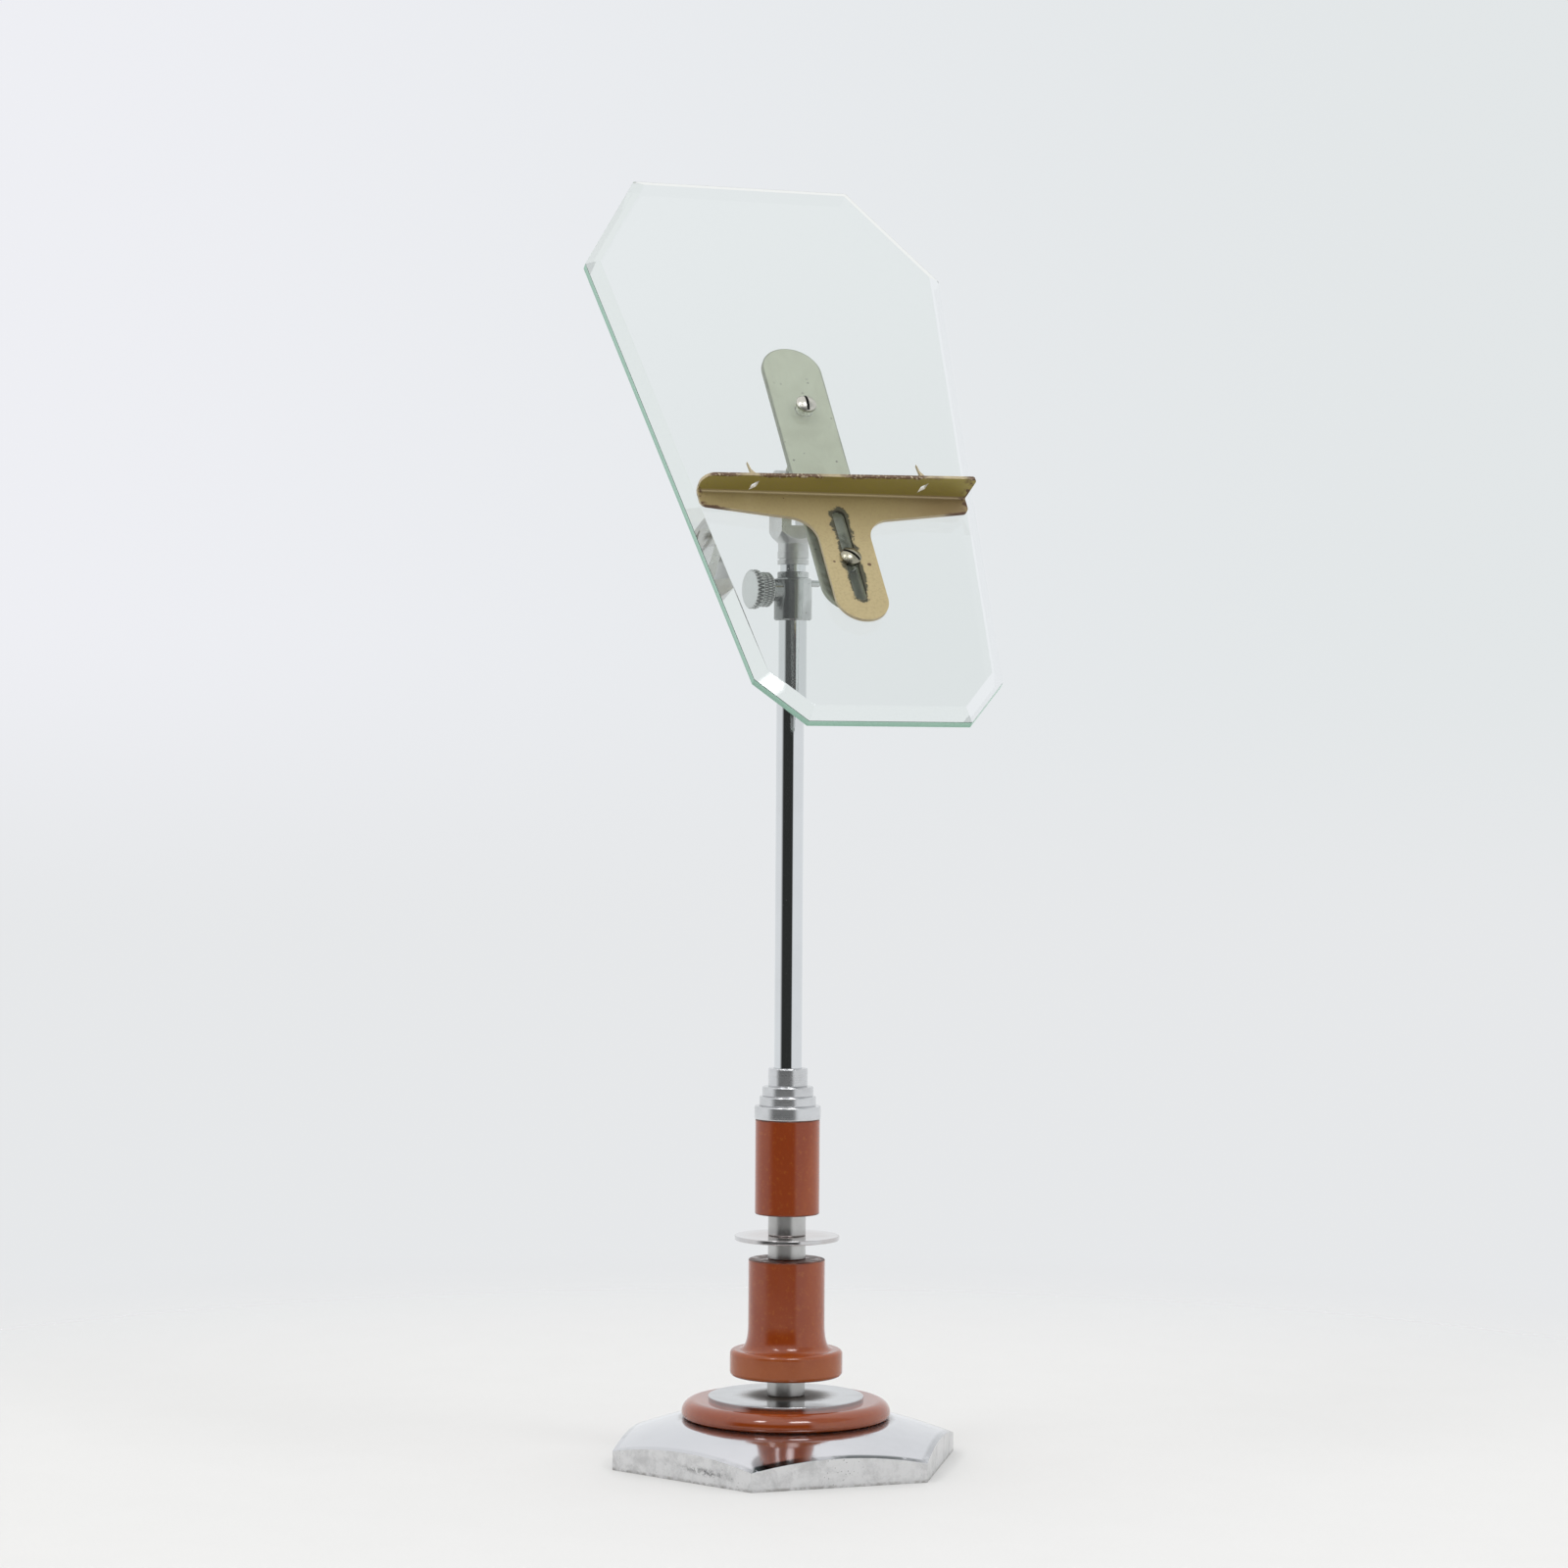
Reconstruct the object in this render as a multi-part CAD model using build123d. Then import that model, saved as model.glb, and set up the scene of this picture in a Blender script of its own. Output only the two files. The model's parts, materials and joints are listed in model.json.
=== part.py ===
from build123d import *
import os
from math import cos, pi, radians, sin, sqrt

# Eyeglasses display stand: a heavy six-sided foot, a stack of turned pieces on one tie rod, a telescopic
# column, and a tilting glass panel that carries a sliding shelf with two prongs for a pair of glasses.
# Millimetres, +Z up. Origin: middle of the foot's underside. The glass faces -Y and leans back.

# Fits
running_gap = 0.05       # radial, between a shaft and the bore it turns or slides in
face_gap = 0.05          # between flat faces that slide on each other
bore_gap = 0.25          # radial, between the tie rod and the pieces threaded over it

# Broken edges
fine_edge = 0.25
small_edge = 0.4
past = 1                 # how far a cutting shape runs past what it cuts, or a core into what it joins
rooted = 0.5             # how far a shank runs into the head it is one piece with

# Foot
base_across_corners = 128.6
base_side_height = 10.0  # at the middle of each of the six sides
base_dome_radius = 165.0
base_seat_height = 15.5  # flat land that the stack stands on
base_recess_radius = 15.0
base_recess_depth = 7.5

# Tie rod and its nut
tie_radius = 4.0
tie_washer_radius = 12.0
tie_washer_thickness = 1.6
tie_nut_flats = 13.0
tie_nut_height = 3.6
tie_end_past_nut = 0.8
tie_in_collar = 7.5

# Stack, from the foot up
ring_radius = 37.1
ring_thickness = 6.3
ring_top_round = 4.3
ring_bottom_round = 1.8
wide_washer_radius = 27.6
wide_washer_thickness = 1.4
washer_edge_share = 0.2  # of a washer's thickness, rounded off its rim
spacer_radius = 6.7
lower_spacer_length = 7.1
middle_spacer_length = 6.8
upper_spacer_length = 7.6
bell_rim_radius = 20.0
bell_rim_height = 9.4
bell_waist_radius = 13.6
bell_flare_height = 9.0
bell_height = 41.4
bell_edge = 1.6
disc_radius = 18.65
disc_thickness = 1.6
cylinder_radius = 11.45
cylinder_length = 33.7
cylinder_edge = 0.5
collar_tiers = ((11.8, 4.7), (10.1, 3.4), (9.1, 3.5), (7.0, 6.5))  # radius and height, from below

# Telescopic column
tube_radius = 5.0
tube_in_collar = 10.0
tube_shown = 157.2       # between the collar and the clamp sleeve
tube_in_sleeve = 6.0
rod_radius = 4.0
rod_length = 164.0       # below its shoulder
rod_shoulder_radius = 4.6
rod_shoulder_height = 2.6
spigot_radius = 3.0
spigot_length = 9.0
spigot_end_gap = 0.3     # left above the spigot in the head's bore

# Clamp sleeve, its screw and pin
sleeve_radius = 6.75
sleeve_length = 14.9
sleeve_edge = 0.5
sleeve_turn = 7.0        # degrees the clamp screw stands forward of -X
bush_flange_radius = 5.6
bush_flange_height = 2.3
bush_spigot_depth = 1.2
bush_spigot_wall = 0.9
clamp_below_top = 4.2
clamp_shank_radius = 2.0
clamp_boss_shy = 0.2     # boss stops this far below the sleeve's top
clamp_boss_reach = 9.2   # from the column's axis
thumb_gap = 0.3
thumb_neck_radius = 6.2
thumb_neck_length = 4.6
thumb_head_radius = 7.0
thumb_head_length = 2.9
pin_below_top = 1.6
pin_radius = 1.25
pin_reach = 10.6

# Swivel head
head_radius = 5.4
head_bead_radius = 5.55
head_bead_heights = (1.6, 2.4)
head_groove_height = 0.5
head_groove_depth = 0.5
head_neck_height = 7.4   # to the start of the cone
fork_side = 13.5
fork_slot = 6.2
fork_slot_floor = 13.5   # above the head's foot
pivot_height = 26.5      # above the head's foot
bolt_radius = 2.5
bolt_head_radius = 3.7
bolt_head_height = 2.4
bolt_slot_turn = 20.0    # degrees
spring_washer_radius = 3.9
spring_washer_thickness = 1.1
spring_split = 0.6
spring_split_slant = 35.0  # degrees
bolt_nut_flats = 8.0
bolt_nut_height = 4.0
bolt_past_nut = 0.8

# Glass panel, measured in its own plane from the tilt axis
panel_tilt = 38.5        # degrees the top leans back from upright
glass_standoff = 24.6    # tilt axis to the back of the glass
glass_thickness = 5.6
glass_rim = 2.7          # height of the edge left below the bevel
glass_bevel = 4.5
glass_corners = ((41.3, 127.7), (67.8, 83.5), (44.5, -108.2), (29.0, -125.7))  # half width, height
glass_hole_radius = 3.0
upper_screw_height = 15.3
lower_screw_height = -56.9

# Strap and lug behind the glass
strap_width = 22.0
strap_thickness = 1.8
strap_top = 45.5
strap_bottom = -76.7
lug_end_radius = 5.5
lug_foot_width = 14.0
lug_foot_height = 19.0
lug_foot_thickness = 2.4
lug_foot_corner = 3.0

# Panel screws
screw_radius = 2.0
screw_head_radius = 3.65
screw_head_height = 2.3
screw_dome_share = 0.62  # of every slotted head's height
screw_slot_width = 1.0
screw_slot_depth = 1.2
screw_past_nut = 1.2
screw_nut_flats = 7.0
screw_nut_height = 3.2
lower_slot_turn = 50.0   # degrees the lower screw's slot is turned from the upper one's

# Shelf bracket
sheet = 1.2
shelf_crease = -28.2     # height of the ledge's underside
shelf_half_width = 49.2
shelf_tip_drop = 6.4     # web below the ledge at its ends
shelf_root_drop = 12.2   # web below the ledge where it would meet the stem
shelf_root_radius = 9.5
shelf_tip_radius = 2.6
shelf_stem_half_width = 9.5
shelf_stem_bottom = -84.7
shelf_bend_radius = 0.6
ledge_depths = (9.2, 11.4)  # from the glass, at its left and right ends
ledge_round_corner = 5.0
ledge_sharp_corner = 1.6
slot_half_width = 2.3
slot_top = -35.6
slot_bottom = -76.1
prong_spacing = 61.6
prong_off_centre = 1.1   # the pair stands this far right of the slot
prong_length = 6.4
prong_width = 2.8
prong_lean = 0.5         # the tip hangs over this far to the left
prong_hollow = 0.9       # how far the right side is hollowed
prong_inset = 1.3        # ledge's front edge to the prong
prong_hole_length = 5.0
prong_hole_bulge = 1.0

# Levels worked out from the stack
ring_level = base_seat_height
washer_level = ring_level + ring_thickness
lower_spacer_level = washer_level + wide_washer_thickness
bell_level = lower_spacer_level + lower_spacer_length
middle_spacer_level = bell_level + bell_height
disc_level = middle_spacer_level + middle_spacer_length
upper_spacer_level = disc_level + disc_thickness
cylinder_level = upper_spacer_level + upper_spacer_length
collar_level = cylinder_level + cylinder_length
collar_top = collar_level + sum(height for radius, height in collar_tiers)
tube_level = collar_top - tube_in_collar
sleeve_level = collar_top + tube_shown
tube_top = sleeve_level + tube_in_sleeve
sleeve_top = sleeve_level + sleeve_length
bush_top = sleeve_top + bush_flange_height
head_level = bush_top + rod_shoulder_height
pivot_level = head_level + pivot_height
tie_bore_radius = tie_radius + bore_gap
tie_nut_level = base_recess_depth - tie_washer_thickness - tie_nut_height
rod_bore_radius = rod_radius + running_gap
bush_spigot_radius = rod_bore_radius + bush_spigot_wall
clamp_boss_radius = clamp_below_top - clamp_boss_shy
thumb_level = sleeve_top - clamp_below_top
tongue_thickness = fork_slot - 4 * face_gap
web_front = glass_thickness + face_gap + sheet

# The glass panel's frame: x across, y up the glass, z out of its front, zero at the back of the glass
lean = radians(panel_tilt)
panel_normal = (0, -cos(lean), sin(lean))
panel_frame = Plane(
    origin=(0, panel_normal[1] * glass_standoff, pivot_level + panel_normal[2] * glass_standoff),
    x_dir=(1, 0, 0),
    z_dir=panel_normal,
)
# The clamp's frame: z runs out along the thumb screw
clamp_frame = Plane(
    origin=(0, 0, thumb_level),
    x_dir=(0, 0, 1),
    z_dir=(-cos(radians(sleeve_turn)), -sin(radians(sleeve_turn)), 0),
)
# The pin's frame: opposite the clamp, near the sleeve's upper end
pin_frame = Plane(
    origin=(0, 0, sleeve_top - pin_below_top),
    x_dir=(0, 0, 1),
    z_dir=(cos(radians(sleeve_turn)), sin(radians(sleeve_turn)), 0),
)


def rod_between(radius, low, high):
    return Pos(0, 0, low) * Cylinder(radius, high - low, align=(Align.CENTER, Align.CENTER, Align.MIN))


def ring_between(radius, bore, low, high):
    return rod_between(radius, low, high) - rod_between(bore, low - past, high + past)


def softened(solid, size, *levels):
    """Round the outer circular edges that lie at the given heights."""
    edges = [
        edge for edge in solid.edges().filter_by(GeomType.CIRCLE)
        if edge.radius > tie_bore_radius + size and min(abs(edge.center().Z - z) for z in levels) < 1e-4
    ]
    return fillet(edges, size)


def hex_nut(flats, height, bore, low):
    prism = extrude(RegularPolygon(flats / 2, 6, major_radius=False), height)
    crown_radius = flats / sqrt(3)
    crown = rod_between(crown_radius, 0, height)
    crown = chamfer(crown.edges().filter_by(GeomType.CIRCLE), (crown_radius - flats / 2) * 0.8)
    return Pos(0, 0, low) * ((prism & crown) - rod_between(bore, -past, height + past))


def slotted_head(radius, height, slot_width, slot_depth, turn):
    """A low domed head standing on z = 0, its slot turned from y."""
    rise = height * screw_dome_share
    sphere_radius = (radius ** 2 + rise ** 2) / (2 * rise)
    head = rod_between(radius, 0, height) & (Pos(0, 0, height - sphere_radius) * Sphere(sphere_radius))
    slot = Pos(0, 0, height) * Rot(0, 0, turn) * Box(slot_width, 2 * radius + past, 2 * slot_depth)
    return head - slot


def hex_base():
    apothem = base_across_corners / 2 * cos(pi / 6)
    dome_rise = base_dome_radius - sqrt(base_dome_radius ** 2 - apothem ** 2)
    dome_centre = base_side_height + dome_rise - base_dome_radius
    block = extrude(RegularPolygon(base_across_corners / 2, 6), base_seat_height)
    block = block & (Pos(0, 0, dome_centre) * Sphere(base_dome_radius))
    recess = rod_between(base_recess_radius, -past, base_recess_depth)
    return block - recess - rod_between(tie_bore_radius, 0, base_seat_height + past)


def tie_washer():
    low = base_recess_depth - tie_washer_thickness
    return ring_between(tie_washer_radius, tie_bore_radius, low, base_recess_depth)


def tie_nut():
    return hex_nut(tie_nut_flats, tie_nut_height, tie_radius, tie_nut_level)


def tie_rod():
    return rod_between(tie_radius, tie_nut_level - tie_end_past_nut, collar_level + tie_in_collar)


def base_ring():
    body = ring_between(ring_radius, tie_bore_radius, ring_level, washer_level)
    body = softened(body, ring_bottom_round, ring_level)
    return softened(body, ring_top_round, washer_level)


def wide_washer():
    body = ring_between(wide_washer_radius, tie_bore_radius, washer_level, lower_spacer_level)
    return softened(body, wide_washer_thickness * washer_edge_share, lower_spacer_level)


def spacer(low, length):
    body = ring_between(spacer_radius, tie_bore_radius, low, low + length)
    return chamfer(body.edges().filter_by(GeomType.CIRCLE).filter_by(lambda e: e.radius > tie_bore_radius), fine_edge)


def bell():
    """Turned bell: an upright rim, a hollow flare and a straight waist."""
    shoulder = bell_rim_radius - 2 * bell_edge
    with BuildPart() as turned:
        with BuildSketch(Plane.XZ):
            with BuildLine():
                foot = Line((tie_bore_radius, 0), (bell_rim_radius - bell_edge, 0))
                low_edge = RadiusArc(foot @ 1, (bell_rim_radius, bell_edge), -bell_edge)
                side = Line(low_edge @ 1, (bell_rim_radius, bell_rim_height - bell_edge))
                top_edge = RadiusArc(side @ 1, (bell_rim_radius - bell_edge, bell_rim_height), -bell_edge)
                land = Line(top_edge @ 1, (shoulder, bell_rim_height))
                flare_end = (bell_waist_radius, bell_rim_height + bell_flare_height)
                flare = Bezier(
                    land @ 1,
                    (bell_waist_radius + 0.7, bell_rim_height + 0.4),
                    (bell_waist_radius, bell_rim_height + 0.45 * bell_flare_height),
                    flare_end,
                )
                waist = Line(flare @ 1, (bell_waist_radius, bell_height - cylinder_edge))
                brim = RadiusArc(waist @ 1, (bell_waist_radius - cylinder_edge, bell_height), -cylinder_edge)
                Polyline(brim @ 1, (tie_bore_radius, bell_height), (tie_bore_radius, 0))
            make_face()
        revolve(axis=Axis.Z)
    return Pos(0, 0, bell_level) * turned.part


def thin_disc():
    body = ring_between(disc_radius, tie_bore_radius, disc_level, upper_spacer_level)
    return softened(body, disc_thickness * washer_edge_share, disc_level, upper_spacer_level)


def grip_cylinder():
    body = ring_between(cylinder_radius, tie_bore_radius, cylinder_level, collar_level)
    return softened(body, cylinder_edge, cylinder_level, collar_level)


def stepped_collar():
    body = None
    low = collar_level
    for radius, height in collar_tiers:
        tier = rod_between(radius, low, low + height)
        tier = chamfer(tier.edges().filter_by(GeomType.CIRCLE), fine_edge)
        body = tier if body is None else body + tier + rod_between(radius - past, low - past, low + past)
        low += height
    body -= rod_between(tie_radius, collar_level - past, tube_level + past)
    return body - rod_between(tube_radius, tube_level, collar_top + past)


def column_tube():
    return ring_between(tube_radius, rod_bore_radius, tube_level, tube_top)


def clamp_sleeve():
    body = rod_between(sleeve_radius, sleeve_level, sleeve_top)
    body = chamfer(body.edges().filter_by(GeomType.CIRCLE), sleeve_edge)
    body += clamp_frame * rod_between(clamp_boss_radius, 0, clamp_boss_reach)
    body -= rod_between(tube_radius, sleeve_level - past, tube_top)
    body -= rod_between(rod_bore_radius, sleeve_level - past, sleeve_top + past)
    body -= rod_between(bush_spigot_radius, sleeve_top - bush_spigot_depth, sleeve_top + past)
    body -= clamp_frame * rod_between(clamp_shank_radius + running_gap, 0, clamp_boss_reach + past)
    return body - pin_frame * rod_between(pin_radius, 0, sleeve_radius + past)


def guide_bush():
    flange = rod_between(bush_flange_radius, sleeve_top, bush_top)
    flange = chamfer(flange.edges().filter_by(GeomType.CIRCLE), fine_edge)
    body = flange + rod_between(bush_spigot_radius, sleeve_top - bush_spigot_depth, sleeve_top + rooted)
    return body - rod_between(rod_bore_radius, sleeve_level, bush_top + past)


def sleeve_pin():
    body = rod_between(pin_radius, bush_spigot_radius + bore_gap, pin_reach)
    return pin_frame * fillet(body.edges().sort_by(Axis.Z)[-1], pin_radius * 0.6)


def thumb_screw():
    neck_start = clamp_boss_reach + thumb_gap
    head_start = neck_start + thumb_neck_length
    head_end = head_start + thumb_head_length
    neck = rod_between(thumb_neck_radius, neck_start, head_start)
    neck = chamfer(neck.edges().filter_by(GeomType.CIRCLE), small_edge)
    head = rod_between(thumb_head_radius, head_start, head_end)
    head = chamfer(head.edges().filter_by(GeomType.CIRCLE), small_edge)
    shank = rod_between(clamp_shank_radius, rod_radius + running_gap, neck_start + past)
    core = rod_between(thumb_neck_radius - past, head_start - past, head_start + past)
    return clamp_frame * (neck + head + core + shank)


def inner_rod():
    body = rod_between(rod_radius, bush_top - rod_length, bush_top + rooted)
    body = chamfer(body.edges().filter_by(GeomType.CIRCLE).sort_by(Axis.Z)[0], small_edge)
    shoulder = rod_between(rod_shoulder_radius, bush_top + face_gap, head_level - face_gap)
    spigot = rod_between(spigot_radius, head_level - rooted, head_level + spigot_length)
    return body + shoulder + spigot


def swivel_head():
    """Beaded neck, turned cone and a square fork whose lower edges the cone cuts in arcs."""
    half = fork_side / 2
    corner = half * sqrt(2)
    first, second = head_bead_heights
    neck = rod_between(head_radius, 0, head_neck_height)
    groove_low = first
    groove_high = first + head_groove_height
    neck -= ring_between(head_radius + past, head_radius - head_groove_depth, groove_low, groove_high)
    neck += ring_between(head_bead_radius, head_radius - past, 0, first)
    neck += ring_between(head_bead_radius, head_radius - past, groove_high, groove_high + second)
    cone_height = corner - head_radius
    cone = Pos(0, 0, head_neck_height) * Cone(
        head_radius, corner, cone_height, align=(Align.CENTER, Align.CENTER, Align.MIN)
    )
    turned = cone + rod_between(corner, head_neck_height + cone_height, pivot_height + half + past)
    square = extrude(Rectangle(fork_side, fork_side), pivot_height + half)
    square -= Pos(0, 0, pivot_height) * Box(fork_side + past, fork_side + past, 2 * half, align=(
        Align.CENTER, Align.CENTER, Align.MIN))
    crown = Pos(0, 0, pivot_height) * Rot(0, 90, 0) * Cylinder(half, fork_side)
    body = neck + ((square + crown) & turned)
    slot_height = pivot_height + half + past - fork_slot_floor
    body -= Pos(0, 0, fork_slot_floor) * Box(
        fork_slot, fork_side + past, slot_height, align=(Align.CENTER, Align.CENTER, Align.MIN)
    )
    body -= Pos(0, 0, pivot_height) * Rot(0, 90, 0) * Cylinder(bolt_radius, fork_side + 2 * past)
    body -= rod_between(spigot_radius + running_gap, -past, spigot_length + spigot_end_gap)
    return Pos(0, 0, head_level) * body


def tilt_frame():
    """Along +X from the fork's left side, on the tilt axis."""
    return Plane(origin=(-fork_side / 2, 0, pivot_level), x_dir=(0, 1, 0), z_dir=(1, 0, 0))


def tilt_bolt():
    end = fork_side + spring_washer_thickness + bolt_nut_height + bolt_past_nut
    head = slotted_head(bolt_head_radius, bolt_head_height, screw_slot_width, screw_slot_depth, bolt_slot_turn)
    shank = rod_between(bolt_radius, -rooted, end)
    shank = chamfer(shank.edges().filter_by(GeomType.CIRCLE).sort_by(Axis.Z)[-1], small_edge)
    return tilt_frame() * (Rot(180, 0, 0) * head + shank)


def spring_washer():
    end = fork_side + spring_washer_thickness
    body = ring_between(spring_washer_radius, bolt_radius, fork_side, end)
    split = Pos(spring_washer_radius, 0, (fork_side + end) / 2) * Rot(spring_split_slant, 0, 0) * Box(
        2 * (spring_washer_radius - bolt_radius) + past, spring_split, 4 * spring_washer_thickness)
    return tilt_frame() * (body - split)


def tilt_nut():
    return tilt_frame() * hex_nut(
        bolt_nut_flats, bolt_nut_height, bolt_radius, fork_side + spring_washer_thickness)


def tilt_lug():
    """Tongue in the fork, running out to a foot that is brazed to the strap."""
    foot_back = -strap_thickness - lug_foot_thickness
    reach = glass_standoff + foot_back
    foot_half = lug_foot_height / 2
    side = Circle(lug_end_radius)
    side += Pos(0, reach / 2) * Rectangle(2 * lug_end_radius, reach)
    side += make_face(Polyline(
        (lug_end_radius, reach - foot_half + lug_end_radius),
        (foot_half, reach),
        (-foot_half, reach),
        (-lug_end_radius, reach - foot_half + lug_end_radius),
        close=True,
    ))
    tongue = extrude(Plane.YZ * side, tongue_thickness / 2, both=True)
    hinge = Rot(0, 90, 0) * Cylinder(bolt_radius + running_gap, tongue_thickness + 2 * past)
    foot = extrude(RectangleRounded(lug_foot_width, lug_foot_height, lug_foot_corner), lug_foot_thickness)
    body = Pos(0, 0, -glass_standoff) * (tongue - hinge) + Pos(0, 0, foot_back) * foot
    return panel_frame * body


def back_strap():
    middle = (strap_top + strap_bottom) / 2
    length = strap_top - strap_bottom
    plate = extrude(SlotOverall(length, strap_width, rotation=90), -strap_thickness)
    plate = Pos(0, middle, 0) * plate
    plate = chamfer(plate.edges().filter_by(lambda e: abs(e.center().Z) < 1e-5), fine_edge)
    for height in (upper_screw_height, lower_screw_height):
        plate -= Pos(0, height, 0) * rod_between(screw_radius, -strap_thickness - past, past)
    return panel_frame * plate


def glass_outline():
    right = [Vector(half, height) for half, height in glass_corners]
    left = [Vector(-half, height) for half, height in reversed(glass_corners)]
    return make_face(Polyline(*right, *left, close=True))


def glass_panel():
    outline = glass_outline()
    front = offset(outline, -glass_bevel, kind=Kind.INTERSECTION)
    body = extrude(outline, glass_rim)
    body += loft([Pos(0, 0, glass_rim) * outline, Pos(0, 0, glass_thickness) * front], ruled=True)
    for height in (upper_screw_height, lower_screw_height):
        body -= Pos(0, height, 0) * rod_between(glass_hole_radius, -past, glass_thickness + past)
    return panel_frame * body


def panel_screw(height, seat, turn):
    end = -strap_thickness - screw_nut_height - screw_past_nut
    head = Pos(0, 0, seat) * slotted_head(
        screw_head_radius, screw_head_height, screw_slot_width, screw_slot_depth, turn)
    shank = rod_between(screw_radius, end, seat + rooted)
    shank = chamfer(shank.edges().filter_by(GeomType.CIRCLE).sort_by(Axis.Z)[0], small_edge)
    return panel_frame * Pos(0, height, 0) * (head + shank)


def panel_nuts():
    low = -strap_thickness - screw_nut_height
    nut = hex_nut(screw_nut_flats, screw_nut_height, screw_radius, low)
    heights = (upper_screw_height, lower_screw_height)
    return Compound(children=[panel_frame * Pos(0, height, 0) * nut for height in heights])


def ledge_front(across):
    """How far the ledge's slightly slanting front edge stands from the back of the glass."""
    left, right = ledge_depths
    return glass_thickness + left + (right - left) * (across / shelf_half_width + 1) / 2


def shelf_bracket():
    """Sheet bent to an L: a slotted web on the glass and a ledge with two prongs punched up from it."""
    bracket = bent_sheet() & web_prism() & ledge_prism()
    bracket -= slot_cut()
    bracket -= prong_holes()
    return panel_frame * (bracket + prongs())


def bent_sheet():
    """The sheet's section, seen along the bend, drawn out wider than the bracket."""
    web_back = glass_thickness + face_gap
    top = shelf_crease + sheet
    front = glass_thickness + max(ledge_depths) + sheet
    low = shelf_stem_bottom - past
    section = make_face(Polyline(
        (web_back, low), (web_back, top), (front, top),
        (front, shelf_crease), (web_front, shelf_crease), (web_front, low), close=True,
    ))
    hollow = section.vertices().filter_by(lambda v: abs(v.X - web_front) < 1e-5 and v.Y > low + past)
    section = fillet(hollow, shelf_bend_radius)
    outside = section.vertices().filter_by(lambda v: abs(v.X - web_back) < 1e-5 and v.Y > low + past)
    section = fillet(outside, shelf_bend_radius + sheet)
    along_bend = Plane(origin=(0, 0, 0), x_dir=(0, 0, 1), z_dir=(-1, 0, 0))
    return extrude(along_bend * section, 1.2 * shelf_half_width, both=True)


def web_prism():
    """Everything in front of the glass that the web's outline lets stand."""
    tip = shelf_crease - shelf_tip_drop
    root = shelf_crease - shelf_root_drop
    half = shelf_half_width
    stem = shelf_stem_half_width
    stem_middle = shelf_stem_bottom + stem
    outline = make_face(Polyline(
        (-half, shelf_crease), (-half, tip), (-stem, root), (-stem, stem_middle),
        (stem, stem_middle), (stem, root), (half, tip), (half, shelf_crease), close=True,
    ))
    roots = outline.vertices().filter_by(lambda v: abs(v.Y - root) < 1e-5)
    outline = fillet(roots, shelf_root_radius)
    tips = outline.vertices().filter_by(lambda v: abs(v.Y - tip) < 1e-5)
    outline = fillet(tips, shelf_tip_radius)
    outline += Pos(0, stem_middle) * Circle(stem)
    outline += Pos(0, shelf_crease + 2 * sheet) * Rectangle(2.2 * half, 4 * sheet)
    return extrude(outline, 2 * (glass_thickness + max(ledge_depths)))


def along_glass(plan, low, high):
    """Draw a plan of (across, out of the glass) points up the glass between two heights."""
    base = Plane(origin=(0, high, 0), x_dir=(1, 0, 0), z_dir=(0, -1, 0))
    return extrude(base * plan, high - low)


def ledge_prism():
    half = shelf_half_width
    flare = ledge_sharp_corner
    plan = make_face(Polyline(
        (-half, -past), (half, -past), (half, web_front), (half + flare, ledge_front(half)),
        (-half, ledge_front(-half)), close=True,
    ))
    round_corner = plan.vertices().sort_by(lambda v: v.X - v.Y)[0]
    plan = fillet(round_corner, ledge_round_corner)
    sharp_corner = plan.vertices().sort_by(lambda v: v.X + v.Y)[-1]
    plan = fillet(sharp_corner, ledge_sharp_corner)
    return along_glass(plan, shelf_stem_bottom - past, shelf_crease + 2 * sheet)


def slot_cut():
    middle = (slot_top + slot_bottom) / 2
    return Pos(0, middle, 0) * extrude(
        SlotOverall(slot_top - slot_bottom, 2 * slot_half_width, rotation=90), web_front + sheet)


def prong_places():
    return (prong_off_centre - prong_spacing / 2, prong_off_centre + prong_spacing / 2)


def prong_holes():
    """Slanting pointed slits left in the ledge where the prongs were bent up."""
    half = prong_width / 2
    cuts = Part()
    for place in prong_places():
        front = ledge_front(place) - prong_inset - sheet
        near = Vector(place + half, front)
        far = Vector(place - half, front - prong_hole_length)
        middle = (near + far) / 2
        bulge = Vector(prong_hole_length, -prong_width).normalized() * prong_hole_bulge
        plan = make_face(Polyline(near, middle + bulge, far, middle - bulge, close=True))
        cuts += along_glass(plan, shelf_crease - past, shelf_crease + sheet + past)
    return cuts


def prongs():
    """Two pointed fins that lean left, their right sides hollowed."""
    low = shelf_crease + sheet / 2
    top = shelf_crease + sheet + prong_length
    half = prong_width / 2
    group = Part()
    for place in prong_places():
        left = Vector(place - half, low)
        right = Vector(place + half, low)
        tip = Vector(place - half - prong_lean, top)
        waist = (right + tip) / 2 - Vector(prong_hollow, 0)
        blade = make_face(Polyline(left, right, waist, tip, close=True))
        group += Pos(0, 0, ledge_front(place) - prong_inset - sheet) * extrude(blade, sheet)
    return group


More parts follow.
